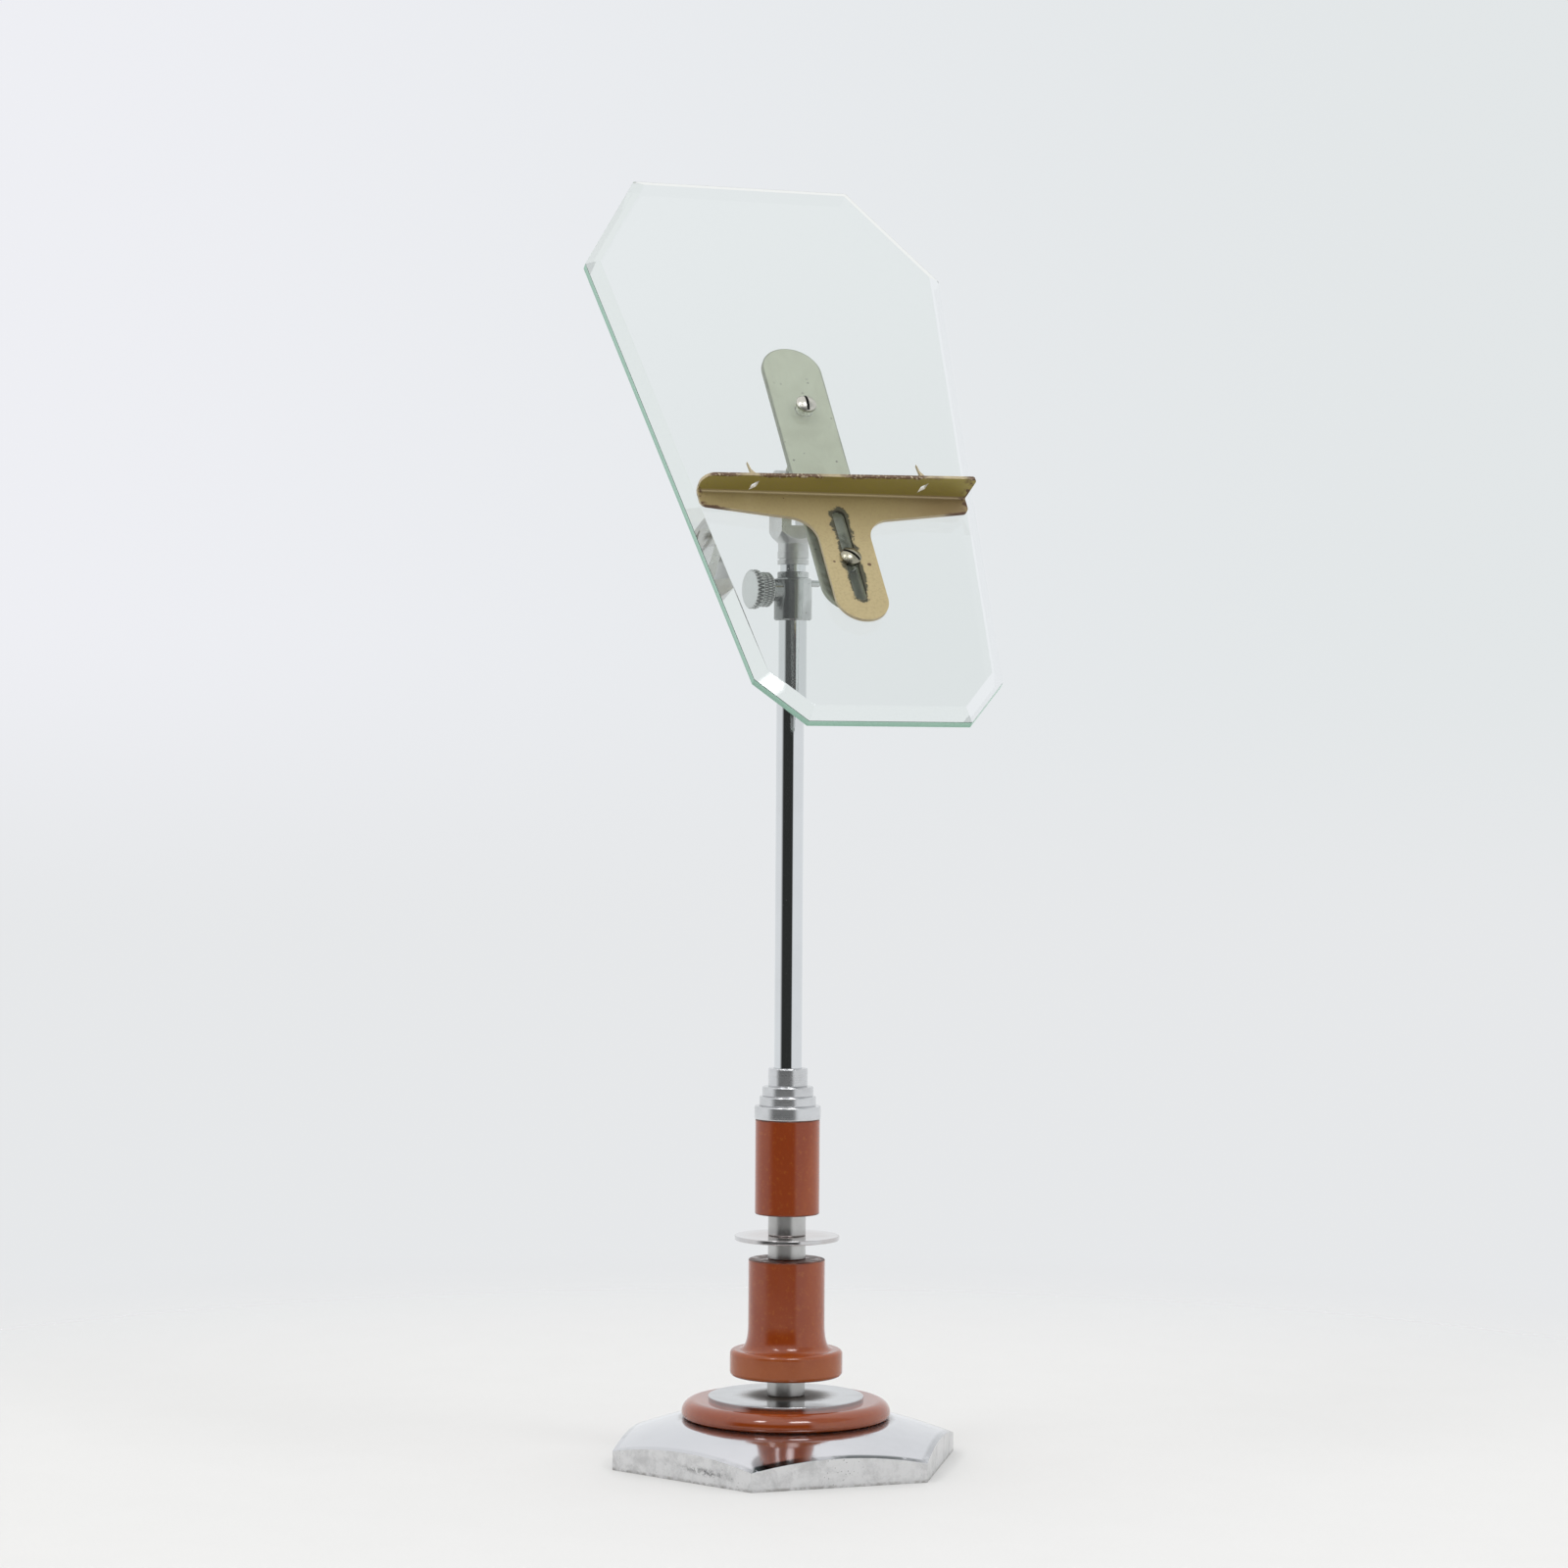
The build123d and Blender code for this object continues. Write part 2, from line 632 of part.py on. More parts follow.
nodes = {
    "hex_base": hex_base,
    "tie_washer": tie_washer,
    "tie_nut": tie_nut,
    "tie_rod": tie_rod,
    "base_ring": base_ring,
    "wide_washer": wide_washer,
    "lower_spacer": lambda: spacer(lower_spacer_level, lower_spacer_length),
    "bell": bell,
    "middle_spacer": lambda: spacer(middle_spacer_level, middle_spacer_length),
    "thin_disc": thin_disc,
    "upper_spacer": lambda: spacer(upper_spacer_level, upper_spacer_length),
    "grip_cylinder": grip_cylinder,
    "stepped_collar": stepped_collar,
    "column_tube": column_tube,
    "clamp_sleeve": clamp_sleeve,
    "guide_bush": guide_bush,
    "sleeve_pin": sleeve_pin,
    "thumb_screw": thumb_screw,
    "inner_rod": inner_rod,
    "swivel_head": swivel_head,
    "tilt_bolt": tilt_bolt,
    "spring_washer": spring_washer,
    "tilt_nut": tilt_nut,
    "tilt_lug": tilt_lug,
    "back_strap": back_strap,
    "glass_panel": glass_panel,
    "upper_screw": lambda: panel_screw(upper_screw_height, glass_thickness, 0),
    "lower_screw": lambda: panel_screw(lower_screw_height, web_front + face_gap, lower_slot_turn),
    "panel_nuts": panel_nuts,
    "shelf_bracket": shelf_bracket,
}

os.makedirs("parts", exist_ok=True)
for name, make in nodes.items():
    export_step(make(), f"parts/{name}.step")
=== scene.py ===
import json
from math import atan2, cos, pi, radians, sin

import bmesh
import bpy
from mathutils import Matrix, Vector


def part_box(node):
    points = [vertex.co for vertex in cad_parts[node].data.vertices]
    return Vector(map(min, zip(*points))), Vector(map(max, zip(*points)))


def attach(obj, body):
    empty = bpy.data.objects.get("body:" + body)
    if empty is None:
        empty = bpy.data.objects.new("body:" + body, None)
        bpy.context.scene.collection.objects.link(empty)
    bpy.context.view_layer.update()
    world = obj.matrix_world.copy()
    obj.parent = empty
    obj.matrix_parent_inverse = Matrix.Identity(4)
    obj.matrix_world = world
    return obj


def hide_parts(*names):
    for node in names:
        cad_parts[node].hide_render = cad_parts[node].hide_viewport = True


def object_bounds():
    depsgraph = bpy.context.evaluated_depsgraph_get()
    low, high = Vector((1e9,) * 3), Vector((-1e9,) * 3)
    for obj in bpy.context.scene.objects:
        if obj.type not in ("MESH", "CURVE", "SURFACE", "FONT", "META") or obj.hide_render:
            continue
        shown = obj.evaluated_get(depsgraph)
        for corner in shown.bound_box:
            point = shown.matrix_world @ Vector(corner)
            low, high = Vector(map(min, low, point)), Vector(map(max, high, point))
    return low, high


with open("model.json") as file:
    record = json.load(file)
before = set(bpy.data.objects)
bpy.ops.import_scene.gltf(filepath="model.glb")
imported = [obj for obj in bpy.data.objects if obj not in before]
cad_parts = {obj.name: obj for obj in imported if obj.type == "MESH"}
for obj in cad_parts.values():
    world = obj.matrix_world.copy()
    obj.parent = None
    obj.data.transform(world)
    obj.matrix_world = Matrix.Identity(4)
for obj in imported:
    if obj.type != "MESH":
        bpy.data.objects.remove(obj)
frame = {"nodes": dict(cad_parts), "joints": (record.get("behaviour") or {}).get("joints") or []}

# Eyeglasses display stand. Metres, +Z up, the glass panel faces -Y and leans back.
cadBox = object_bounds()
mm = 0.001
scene = bpy.context.scene


class Wire:
    # One output of a node. Arithmetic on it adds Math nodes.
    def __init__(self, tree, socket):
        self.tree = tree
        self.socket = socket

    def join(self, operation, first, second=None):
        node = self.tree.nodes.new("ShaderNodeMath")
        node.operation = operation
        for slot, value in zip(node.inputs, (first, second)):
            if isinstance(value, Wire):
                self.tree.links.new(value.socket, slot)
            elif value is not None:
                slot.default_value = value
        return Wire(self.tree, node.outputs[0])

    def __add__(self, other):
        return self.join("ADD", self, other)

    def __radd__(self, other):
        return self.join("ADD", other, self)

    def __sub__(self, other):
        return self.join("SUBTRACT", self, other)

    def __rsub__(self, other):
        return self.join("SUBTRACT", other, self)

    def __mul__(self, other):
        return self.join("MULTIPLY", self, other)

    def __rmul__(self, other):
        return self.join("MULTIPLY", other, self)

    def __pow__(self, other):
        return self.join("POWER", self, other)

    def __abs__(self):
        return self.join("ABSOLUTE", self)

    def least(self, other):
        return self.join("MINIMUM", self, other)

    def most(self, other):
        return self.join("MAXIMUM", self, other)

    def rise(self, low, high):
        # 0 at low, 1 at high, smooth between; high may be the lower number
        node = self.tree.nodes.new("ShaderNodeMapRange")
        node.interpolation_type = "SMOOTHSTEP"
        self.tree.links.new(self.socket, node.inputs["Value"])
        first, last = (low, high) if low < high else (high, low)
        node.inputs["From Min"].default_value = first
        node.inputs["From Max"].default_value = last
        node.inputs["To Min"].default_value = 0.0 if low < high else 1.0
        node.inputs["To Max"].default_value = 1.0 if low < high else 0.0
        return Wire(self.tree, node.outputs["Result"])


class Sheet:
    # A node tree with one method for every node that isn't arithmetic.
    def __init__(self, tree):
        self.tree = tree

    def add(self, kind, settings=None, inputs=None, output=0):
        node = self.tree.nodes.new(kind)
        for key, value in (settings or {}).items():
            setattr(node, key, value)
        for key, value in (inputs or {}).items():
            if isinstance(value, Wire):
                self.tree.links.new(value.socket, node.inputs[key])
            else:
                node.inputs[key].default_value = value
        return Wire(self.tree, node.outputs[output])

    def place(self):
        return self.add("ShaderNodeTexCoord", output="Object")

    def axes(self, vector):
        split = self.tree.nodes.new("ShaderNodeSeparateXYZ")
        self.tree.links.new(vector.socket, split.inputs[0])
        return [Wire(self.tree, out) for out in split.outputs]

    def noise(self, scale, detail=3.0, roughness=0.5, vector=None, warp=0.0):
        return self.add("ShaderNodeTexNoise", {}, {
            "Vector": vector or self.place(), "Scale": scale, "Detail": detail,
            "Roughness": roughness, "Distortion": warp}, "Fac")

    def cells(self, scale):
        # distance to the nearest of many scattered points
        return self.add("ShaderNodeTexVoronoi", {}, {
            "Vector": self.place(), "Scale": scale}, "Distance")

    def stretch(self, scales, turn=(0, 0, 0)):
        return self.add("ShaderNodeMapping", {}, {
            "Vector": self.place(), "Scale": scales, "Rotation": turn})

    def blend(self, share, first, second):
        # colours: first where share is 0, second where it is 1
        node = self.tree.nodes.new("ShaderNodeMix")
        node.data_type = "RGBA"
        for name, value in (("Factor_Float", share), ("A_Color", first), ("B_Color", second)):
            socket = next(s for s in node.inputs if s.identifier == name)
            if isinstance(value, Wire):
                self.tree.links.new(value.socket, socket)
            elif name == "Factor_Float":
                socket.default_value = value
            else:
                socket.default_value = (*value[:3], 1.0)
        return Wire(self.tree, next(s for s in node.outputs if s.identifier == "Result_Color"))

    def bump(self, height, strength, distance):
        return self.add("ShaderNodeBump", {}, {
            "Height": height, "Strength": strength, "Distance": distance})


class Finish(Sheet):
    # A material with one Principled shader.
    def __init__(self, name):
        self.material = bpy.data.materials.new(name)
        self.material.use_nodes = True
        super().__init__(self.material.node_tree)
        self.shader = self.tree.nodes["Principled BSDF"]
        self.out = self.tree.nodes["Material Output"]

    def set(self, **values):
        for name, value in values.items():
            socket = self.shader.inputs[name.replace("_", " ")]
            if isinstance(value, Wire):
                self.tree.links.new(value.socket, socket)
            elif isinstance(value, tuple) and len(value) == 3 and socket.type == "RGBA":
                socket.default_value = (*value, 1.0)
            else:
                socket.default_value = value
        return self.material


def joint(name):
    return next(j for j in frame["joints"] if j["name"] == name)


# The glass panel's own axes, and their origin in the middle of its back.
tiltAxis = Vector(joint("panel_tilt")["pos_m"])
sideways = Vector((1, 0, 0))
panelUp = Vector(joint("shelf_slide")["axis"]).normalized()
panelOut = sideways.cross(panelUp)
glassDepths = [(v.co - tiltAxis).dot(panelOut) for v in frame["nodes"]["glass_panel"].data.vertices]
glassThickness = max(glassDepths) - min(glassDepths)
panelOrigin = tiltAxis + panelOut * min(glassDepths)


camera = {
    "place": (-0.4672, -1.3081, 0.2476),
    "azimuth": -19.57,
    "pitch": -0.299,
    "roll": 0.367,
    "lens": 89.79,
}


def makeCamera(values):
    azimuth, pitch, roll = (radians(values[key]) for key in ("azimuth", "pitch", "roll"))
    forward = Vector((-sin(azimuth) * cos(pitch), cos(azimuth) * cos(pitch), sin(pitch)))
    right = Vector((cos(azimuth), sin(azimuth), 0))
    up = right.cross(forward)
    rolledRight = right * cos(roll) + up * sin(roll)
    rolledUp = up * cos(roll) - right * sin(roll)
    turn = Matrix((rolledRight, rolledUp, -forward)).transposed()
    data = bpy.data.cameras.new("camera")
    data.lens = values["lens"]
    data.sensor_width = 36
    data.clip_start = 0.05
    data.clip_end = 50
    thing = bpy.data.objects.new("camera", data)
    thing.matrix_world = Matrix.Translation(values["place"]) @ turn.to_4x4()
    scene.collection.objects.link(thing)
    scene.camera = thing
    return forward


studio = {
    "wallLeft": (0.860, 0.866, 0.905),
    "wallRight": (0.765, 0.796, 0.806),
    "wallLow": (0.795, 0.808, 0.822),
    "floorColour": (0.890, 0.880, 0.862),
    "wallSpan": (-0.24, 0.20),         # sines of the angle to the right of straight ahead
    "lowSpan": (0.04, -0.05),          # heights are sines of the angle above the horizon
    "floorSpan": (-0.125, -0.19),
    "tentTop": (1.10, 1.10, 1.11),
    "tentBright": (0.93, 0.95, 0.965),
    "tentThroughGlass": (0.84, 0.86, 0.87),
    "litThroughGlass": (1.60, 1.62, 1.60),
    "topSpan": (0.45, 0.95),
    "roomDark": (0.034, 0.036, 0.034),
    "darkLeft": (-76, -50),            # degrees to the right of the viewer's side
    "darkRight": (33, 24),
    "darkLow": (-0.30, -0.10),
    "darkHigh": (0.50, 0.26),
    "tentDim": (0.52, 0.55, 0.56),
    "dimLeft": (34, 44),
    "dimRight": (100, 80),
    "dimLow": (0.42, 0.52),
    "dimHigh": (0.97, 0.92),
    "window": (11.0, 11.0, 11.2),
    "windows": ((-35, 12), (19, 26)),  # azimuth and width, in degrees
    "windowLow": (0.64, 0.68),
    "windowHigh": (0.83, 0.79),
    "paper": ((0.80, 0.79, 0.772), (0.845, 0.835, 0.82)),
    "floorRadius": 0.65,
    "floorFade": (0.62, 0.16),
    "lampAzimuths": (-50, 55),
    "lampHeight": 50,
    "lampDistance": 1.7,
    "lampSize": 0.42,
    "lampPower": 3.1,
}


def makeWorld(values, viewer):
    world = bpy.data.worlds.new("studio")
    scene.world = world
    world.use_nodes = True
    sheet = Sheet(world.node_tree)
    direction = sheet.add("ShaderNodeTexCoord", output="Generated")
    x, y, z = sheet.axes(direction)
    across = x * -viewer.y + y * viewer.x
    along = x * viewer.x + y * viewer.y
    angle = across.join("ARCTAN2", across, along) * (180 / pi)
    glossy = sheet.add("ShaderNodeLightPath", output="Glossy Depth")
    scattered = sheet.add("ShaderNodeLightPath", output="Diffuse Depth")
    crossings = sheet.add("ShaderNodeLightPath", output="Transmission Depth")
    # what the eye sees behind the stand: paper walls that run into the floor
    wall = sheet.blend(across.rise(*values["wallSpan"]), values["wallLeft"], values["wallRight"])
    wall = sheet.blend(z.rise(*values["lowSpan"]), wall, values["wallLow"])
    wall = sheet.blend(z.rise(*values["floorSpan"]), wall, values["floorColour"])
    # the tent that polished metal mirrors: bright all round, dark where the viewer stands
    passed = crossings.least(1.0)
    tent = sheet.blend(z.rise(*values["topSpan"]), values["tentBright"], values["tentTop"])
    tent = sheet.blend(passed, tent, values["tentThroughGlass"])
    dark = angle.rise(*values["darkLeft"]) * angle.rise(*values["darkRight"])
    dark = dark * z.rise(*values["darkLow"]) * z.rise(*values["darkHigh"])
    tent = sheet.blend(dark, tent, values["roomDark"])
    dim = angle.rise(*values["dimLeft"]) * angle.rise(*values["dimRight"])
    dim = dim * z.rise(*values["dimLow"]) * z.rise(*values["dimHigh"])
    tent = sheet.blend(dim, tent, values["tentDim"])
    # small bright windows, for mirrors only
    mirrored = 1 - (scattered + passed).least(1.0)
    for middle, width in values["windows"]:
        pane = abs(angle - middle).rise(width / 2 + 2, width / 2 - 2)
        pane = pane * z.rise(*values["windowLow"]) * z.rise(*values["windowHigh"])
        tent = sheet.blend(pane * mirrored, tent, values["window"])
    # stronger light for what lies right behind the glass: its light crosses the glass twice more
    behind = crossings.join("GREATER_THAN", crossings, 3.5) * scattered.least(1.0)
    tent = sheet.blend(behind, tent, values["litThroughGlass"])
    bounced = glossy.join("GREATER_THAN", glossy + scattered, 0.5)
    colour = sheet.blend(bounced, wall, tent)
    background = world.node_tree.nodes["Background"]
    world.node_tree.links.new(colour.socket, background.inputs["Color"])
    background.inputs["Strength"].default_value = 1.0


def makeLamp(name, azimuth, values, aim, viewer):
    # azimuth in degrees to the right of the viewer's side, as seen by the viewer
    base = atan2(viewer.x, viewer.y) - radians(azimuth)
    rise = radians(values["lampHeight"])
    back = Vector((sin(base) * cos(rise), cos(base) * cos(rise), sin(rise)))
    data = bpy.data.lights.new(name, "AREA")
    data.shape = "SQUARE"
    data.size = values["lampSize"]
    data.energy = values["lampPower"]
    thing = bpy.data.objects.new(name, data)
    thing.location = aim + back * values["lampDistance"]
    thing.rotation_mode = "QUATERNION"
    thing.rotation_quaternion = back.to_track_quat("Z", "Y")
    thing.visible_glossy = False
    thing.visible_transmission = False
    scene.collection.objects.link(thing)


def makeFloor(values):
    finish = Finish("paperFloor")
    x, y = finish.axes(finish.place())[:2]
    distance = (x * x + y * y) ** 0.5
    grain = finish.noise(900.0, 2.0) * 0.6 + finish.noise(35.0, 2.0) * 0.4
    colour = finish.blend(grain, *values["paper"])
    finish.set(
        Base_Color=colour, Roughness=0.75, Specular_IOR_Level=0.2,
        Alpha=distance.rise(*values["floorFade"]), Normal=finish.bump(grain, 0.05, 0.0003))
    mesh = bpy.data.meshes.new("floor")
    shape = bmesh.new()
    bmesh.ops.create_circle(shape, cap_ends=True, segments=96, radius=values["floorRadius"])
    shape.to_mesh(mesh)
    shape.free()
    mesh.materials.append(finish.material)
    thing = bpy.data.objects.new("floor", mesh)
    scene.collection.objects.link(thing)


forward = makeCamera(camera)
viewer = Vector((-forward.x, -forward.y, 0)).normalized()
makeWorld(studio, viewer)
aim = (cadBox[0] + cadBox[1]) / 2
for number, azimuth in enumerate(studio["lampAzimuths"]):
    makeLamp(f"softLamp{number}", azimuth, studio, aim, viewer)
makeFloor(studio)
scene.view_settings.view_transform = "Standard"
print("studio ready")


def polishedPlate(name, values):
    # Chrome plate: hazy patches, fine rubbing marks and small dark pits. It may have a dark left side, a
    # painted reflection of the thumb screw, and a tinted patch round the axis: a painted reflection of the
    # bell's underside on the washer, a pinkish worn ring on the disc.
    finish = Finish(name)
    patches = finish.noise(values["hazeScale"], 4.0, 0.6)
    rubbed = finish.noise(1.0, 3.0, 0.6, finish.stretch(values["rubScales"], values["rubTurn"]))
    gate = finish.noise(values["hazeScale"] * 2.3, 3.0, 0.6, warp=0.6)
    pits = finish.cells(values["pitScale"]).rise(values["pitSize"], values["pitSize"] * 0.5)
    pits = pits * gate.rise(values["pitGate"], values["pitGate"] + 0.08)
    colour = finish.blend(patches.rise(0.35, 0.75), values["colour"], values["dull"])
    x, y = finish.axes(finish.place())[:2]
    matte = 0.0
    if "darkReflection" in values:
        # painted reflection: the left front side is darkened where the chrome would mirror the thumb screw
        shaded = (x + y * 0.35 + (patches - 0.5) * 0.004).rise(0.0, -0.0045)
        colour = finish.blend(shaded * 0.75, colour, values["darkReflection"])
    if "tarnishAndReflection" in values:
        # tinted and duller round the axis: on the washer a painted reflection of the bell's underside, on
        # the disc a pinkish worn ring
        fromAxis = (x * x + y * y) ** 0.5 + (patches - 0.5) * 0.010
        middle = fromAxis.rise(*values["middleSpan"])
        colour = finish.blend(middle * 0.9, colour, values["tarnishAndReflection"])
        if values["middleMatte"]:
            matte = middle * values["middleMatte"]
    colour = finish.blend(pits * 0.85, colour, (0.10, 0.095, 0.085))
    roughness = values["gloss"] + patches.rise(0.40, 0.80) * values["haze"] + pits * 0.35
    roughness = roughness + rubbed.rise(0.55, 0.8) * values["haze"] * 0.5 + matte * 0.45
    height = rubbed * 0.4 - pits
    return finish.set(
        Base_Color=colour, Metallic=1.0 - matte, Roughness=roughness,
        Normal=finish.bump(height, values["bump"], 0.00002))


columnPlate = {
    "colour": (0.690, 0.705, 0.720), "dull": (0.655, 0.668, 0.680), "gloss": 0.045, "haze": 0.045,
    "hazeScale": 34.0, "rubScales": (900.0, 900.0, 60.0), "rubTurn": (0, 0, 0),
    "pitScale": 900.0, "pitSize": 0.16, "pitGate": 0.66, "bump": 0.10,
}
sleevePlate = {
    "colour": (0.600, 0.615, 0.610), "dull": (0.430, 0.440, 0.435), "gloss": 0.10, "haze": 0.10,
    "hazeScale": 120.0, "rubScales": (500.0, 500.0, 120.0), "rubTurn": (0, 0, 0),
    "pitScale": 700.0, "pitSize": 0.20, "pitGate": 0.50, "bump": 0.25, "darkReflection": (0.16, 0.165, 0.16),
}
washerPlate = {
    "colour": (0.470, 0.475, 0.490), "dull": (0.385, 0.385, 0.395), "gloss": 0.09, "haze": 0.10,
    "hazeScale": 70.0, "rubScales": (260.0, 900.0, 900.0), "rubTurn": (0, 0, 0.5),
    "pitScale": 1100.0, "pitSize": 0.17, "pitGate": 0.60, "bump": 0.15,
    # the brown matte patch round the axis is a painted reflection of the bell's underside
    "tarnishAndReflection": (0.165, 0.132, 0.100), "middleMatte": 0.85, "middleSpan": (0.0190, 0.0095),
}
discPlate = {
    **washerPlate, "colour": (0.600, 0.600, 0.610), "dull": (0.540, 0.505, 0.495),
    "tarnishAndReflection": (0.46, 0.40, 0.385), "middleMatte": 0.0,
}

foot = {
    "colour": (0.665, 0.665, 0.690), "dull": (0.60, 0.60, 0.62), "sideColour": (0.74, 0.74, 0.745),
    "gloss": 0.090, "haze": 0.11, "sideRoughness": 0.34, "rimRound": 0.0010,
    "rimDarkReflection": (0.050, 0.062, 0.062), "rimSpan": (0.0026, 0.0011), "cornerSpan": (0.0036, 0.0022),
    "cornerReach": (-0.006, -0.018), "seamSpan": (0.0395, 0.0372), "seamColour": (0.20, 0.15, 0.13),
    "scuffPlace": (0.62, 0.64, 0.0042), "scuffSize": 0.0105, "scuffSlope": -0.10,
}


def footPlate(values):
    # The dome is bright and lightly hazed. The six sides are duller, scuffed and pitted.
    finish = Finish("footPlate")
    x, y, z = finish.axes(finish.place())
    tilt = finish.axes(finish.add("ShaderNodeTexCoord", output="Normal"))[2]
    side = tilt.rise(0.30, 0.10)
    low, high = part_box("hex_base")
    patches = finish.noise(26.0, 5.0, 0.62)
    fine = finish.noise(420.0, 3.0, 0.6)
    rubbed = finish.noise(1.0, 3.0, 0.6, finish.stretch((700.0, 90.0, 700.0), (0, 0, 0.7)))
    pits = finish.cells(820.0).rise(0.22, 0.08) * finish.noise(60.0, 4.0, 0.6).rise(0.50, 0.66)
    clouds = finish.noise(150.0, 6.0, 0.72, warp=0.3).rise(0.42, 0.70)
    # darker along the bottom of the sides, next to the floor
    grimeAndShade = side * z.rise(0.0014, 0.0003) * fine.rise(0.30, 0.65)
    seam = ((x * x + y * y) ** 0.5).rise(*values["seamSpan"]) * tilt.rise(0.5, 0.9)
    # painted dark reflection along the rounded rim, strongest in front and widest at the front left corner
    slanted = abs(x) * cos(pi / 6) + abs(y) * 0.5
    frontness = abs(y) - slanted
    inwards = high.y - slanted.most(abs(y))
    rim = inwards.rise(*values["rimSpan"]) * tilt.rise(0.15, 0.35)
    rim = rim * (0.30 + frontness.rise(-0.004, 0.001) * 0.60)
    wide = inwards.rise(*values["cornerSpan"]) * tilt.rise(0.15, 0.35)
    corner = x.rise(*values["cornerReach"]) * y.rise(0.0, -0.020) * frontness.rise(-0.0010, 0.0010)
    wornAndReflected = (0.35 + patches.rise(0.42, 0.56) * 0.65).most(corner)
    wornAndReflected = rim.most(corner * wide) * wornAndReflected * fine.rise(0.20, 0.45)
    # one long scuff on the front left side
    acrossShare, deepShare, scuffHeight = values["scuffPlace"]
    scuffMiddle = Vector((low.x * acrossShare, low.y * deepShare, scuffHeight))
    away = finish.add("ShaderNodeVectorMath", {"operation": "DISTANCE"}, {
        0: finish.place(), 1: tuple(scuffMiddle)}, "Value")
    line = z - scuffMiddle.z - (x - scuffMiddle.x) * values["scuffSlope"]
    scuff = away.rise(values["scuffSize"] * 1.5, values["scuffSize"] * 0.2)
    scuff = scuff * (abs(line) + fine * 0.0016).rise(0.0030, 0.0008)
    scuff = scuff * finish.noise(420.0, 6.0, 0.75, warp=0.4).rise(0.44, 0.62)
    colour = finish.blend(patches.rise(0.4, 0.8), values["colour"], values["dull"])
    colour = finish.blend(side, colour, values["sideColour"])
    colour = finish.blend(clouds * side * 0.45, colour, (0.36, 0.36, 0.365))
    colour = finish.blend(wornAndReflected, colour, values["rimDarkReflection"])
    colour = finish.blend(pits * side * 0.7, colour, (0.14, 0.135, 0.13))
    colour = finish.blend(scuff * side * 0.9, colour, (0.07, 0.07, 0.075))
    colour = finish.blend(grimeAndShade * 0.60, colour, (0.18, 0.16, 0.14))
    colour = finish.blend(seam * fine.rise(0.3, 0.6) * 0.45, colour, values["seamColour"])
    roughness = values["gloss"] + patches.rise(0.45, 0.85) * values["haze"]
    roughness = roughness + side * (values["sideRoughness"] - values["gloss"])
    roughness = roughness + (scuff + pits) * side * 0.25 + seam * 0.15 + rubbed.rise(0.6, 0.8) * 0.04
    height = fine * side * 0.5 + rubbed * 0.25 - pits * side - scuff * 0.8
    return finish.set(
        Base_Color=colour, Metallic=1.0, Roughness=roughness,
        Normal=finish.bump(height, 0.16, 0.00005))


def turnedMetal(name, values):
    # Satin metal with fine rings left by the lathe, running round the given axis.
    finish = Finish(name)
    centre, axis = values["centre"], Vector(values["axis"])
    offset = finish.add("ShaderNodeVectorMath", {"operation": "SUBTRACT"}, {
        0: finish.place(), 1: tuple(centre)})
    along = finish.add("ShaderNodeVectorMath", {"operation": "DOT_PRODUCT"}, {
        0: offset, 1: tuple(axis)}, "Value")
    length = finish.add("ShaderNodeVectorMath", {"operation": "LENGTH"}, {0: offset}, "Value")
    radius = (length * length - along * along).most(0.0) ** 0.5
    rings = finish.add("ShaderNodeCombineXYZ", {}, {"X": along, "Y": radius, "Z": 0.0})
    lines = finish.noise(values["ringScale"], 3.0, 0.65, rings)
    patches = finish.noise(90.0, 4.0, 0.6)
    specks = finish.cells(1300.0).rise(0.17, 0.07) * finish.noise(170.0, 2.0).rise(0.52, 0.62)
    colour = finish.blend(patches.rise(0.3, 0.8), values["colour"], values["dull"])
    colour = finish.blend(lines.rise(0.50, 0.80) * 0.35, colour, values["dull"])
    colour = finish.blend(specks * 0.7, colour, (0.09, 0.085, 0.075))
    # painted shade in the knurl: the sunk grooves are darkened
    if "grooveShade" in values:
        groove = finish.add("ShaderNodeAttribute", {"attribute_name": "groove"}, output="Fac")
        colour = finish.blend(groove * values["grooveShade"], colour, (0.045, 0.045, 0.043))
    roughness = values["roughness"] + patches * 0.10 + lines * 0.08 + specks * 0.2
    return finish.set(
        Base_Color=colour, Metallic=1.0, Roughness=roughness,
        Normal=finish.bump(lines - specks, values["bump"], 0.00003))


spindle = {
    "centre": (0, 0, 0), "axis": (0, 0, 1), "ringScale": 2600.0, "colour": (0.52, 0.517, 0.507),
    "dull": (0.42, 0.415, 0.405), "roughness": 0.22, "bump": 0.35,
}
collarMetal = {**spindle, "colour": (0.64, 0.645, 0.655), "dull": (0.53, 0.53, 0.535), "roughness": 0.17}
headMetal = {**spindle, "colour": (0.62, 0.625, 0.62), "dull": (0.50, 0.50, 0.49), "roughness": 0.20}
steelParts = {**spindle, "colour": (0.42, 0.41, 0.39), "dull": (0.30, 0.29, 0.27), "roughness": 0.34}


def panelAxes(finish):
    # Across the glass, up it and out of it, in metres from the middle of its back.
    offset = finish.add("ShaderNodeVectorMath", {"operation": "SUBTRACT"}, {
        0: finish.place(), 1: tuple(panelOrigin)})
    return [finish.add("ShaderNodeVectorMath", {"operation": "DOT_PRODUCT"}, {
        0: offset, 1: tuple(axis)}, "Value") for axis in (sideways, panelUp, panelOut)]


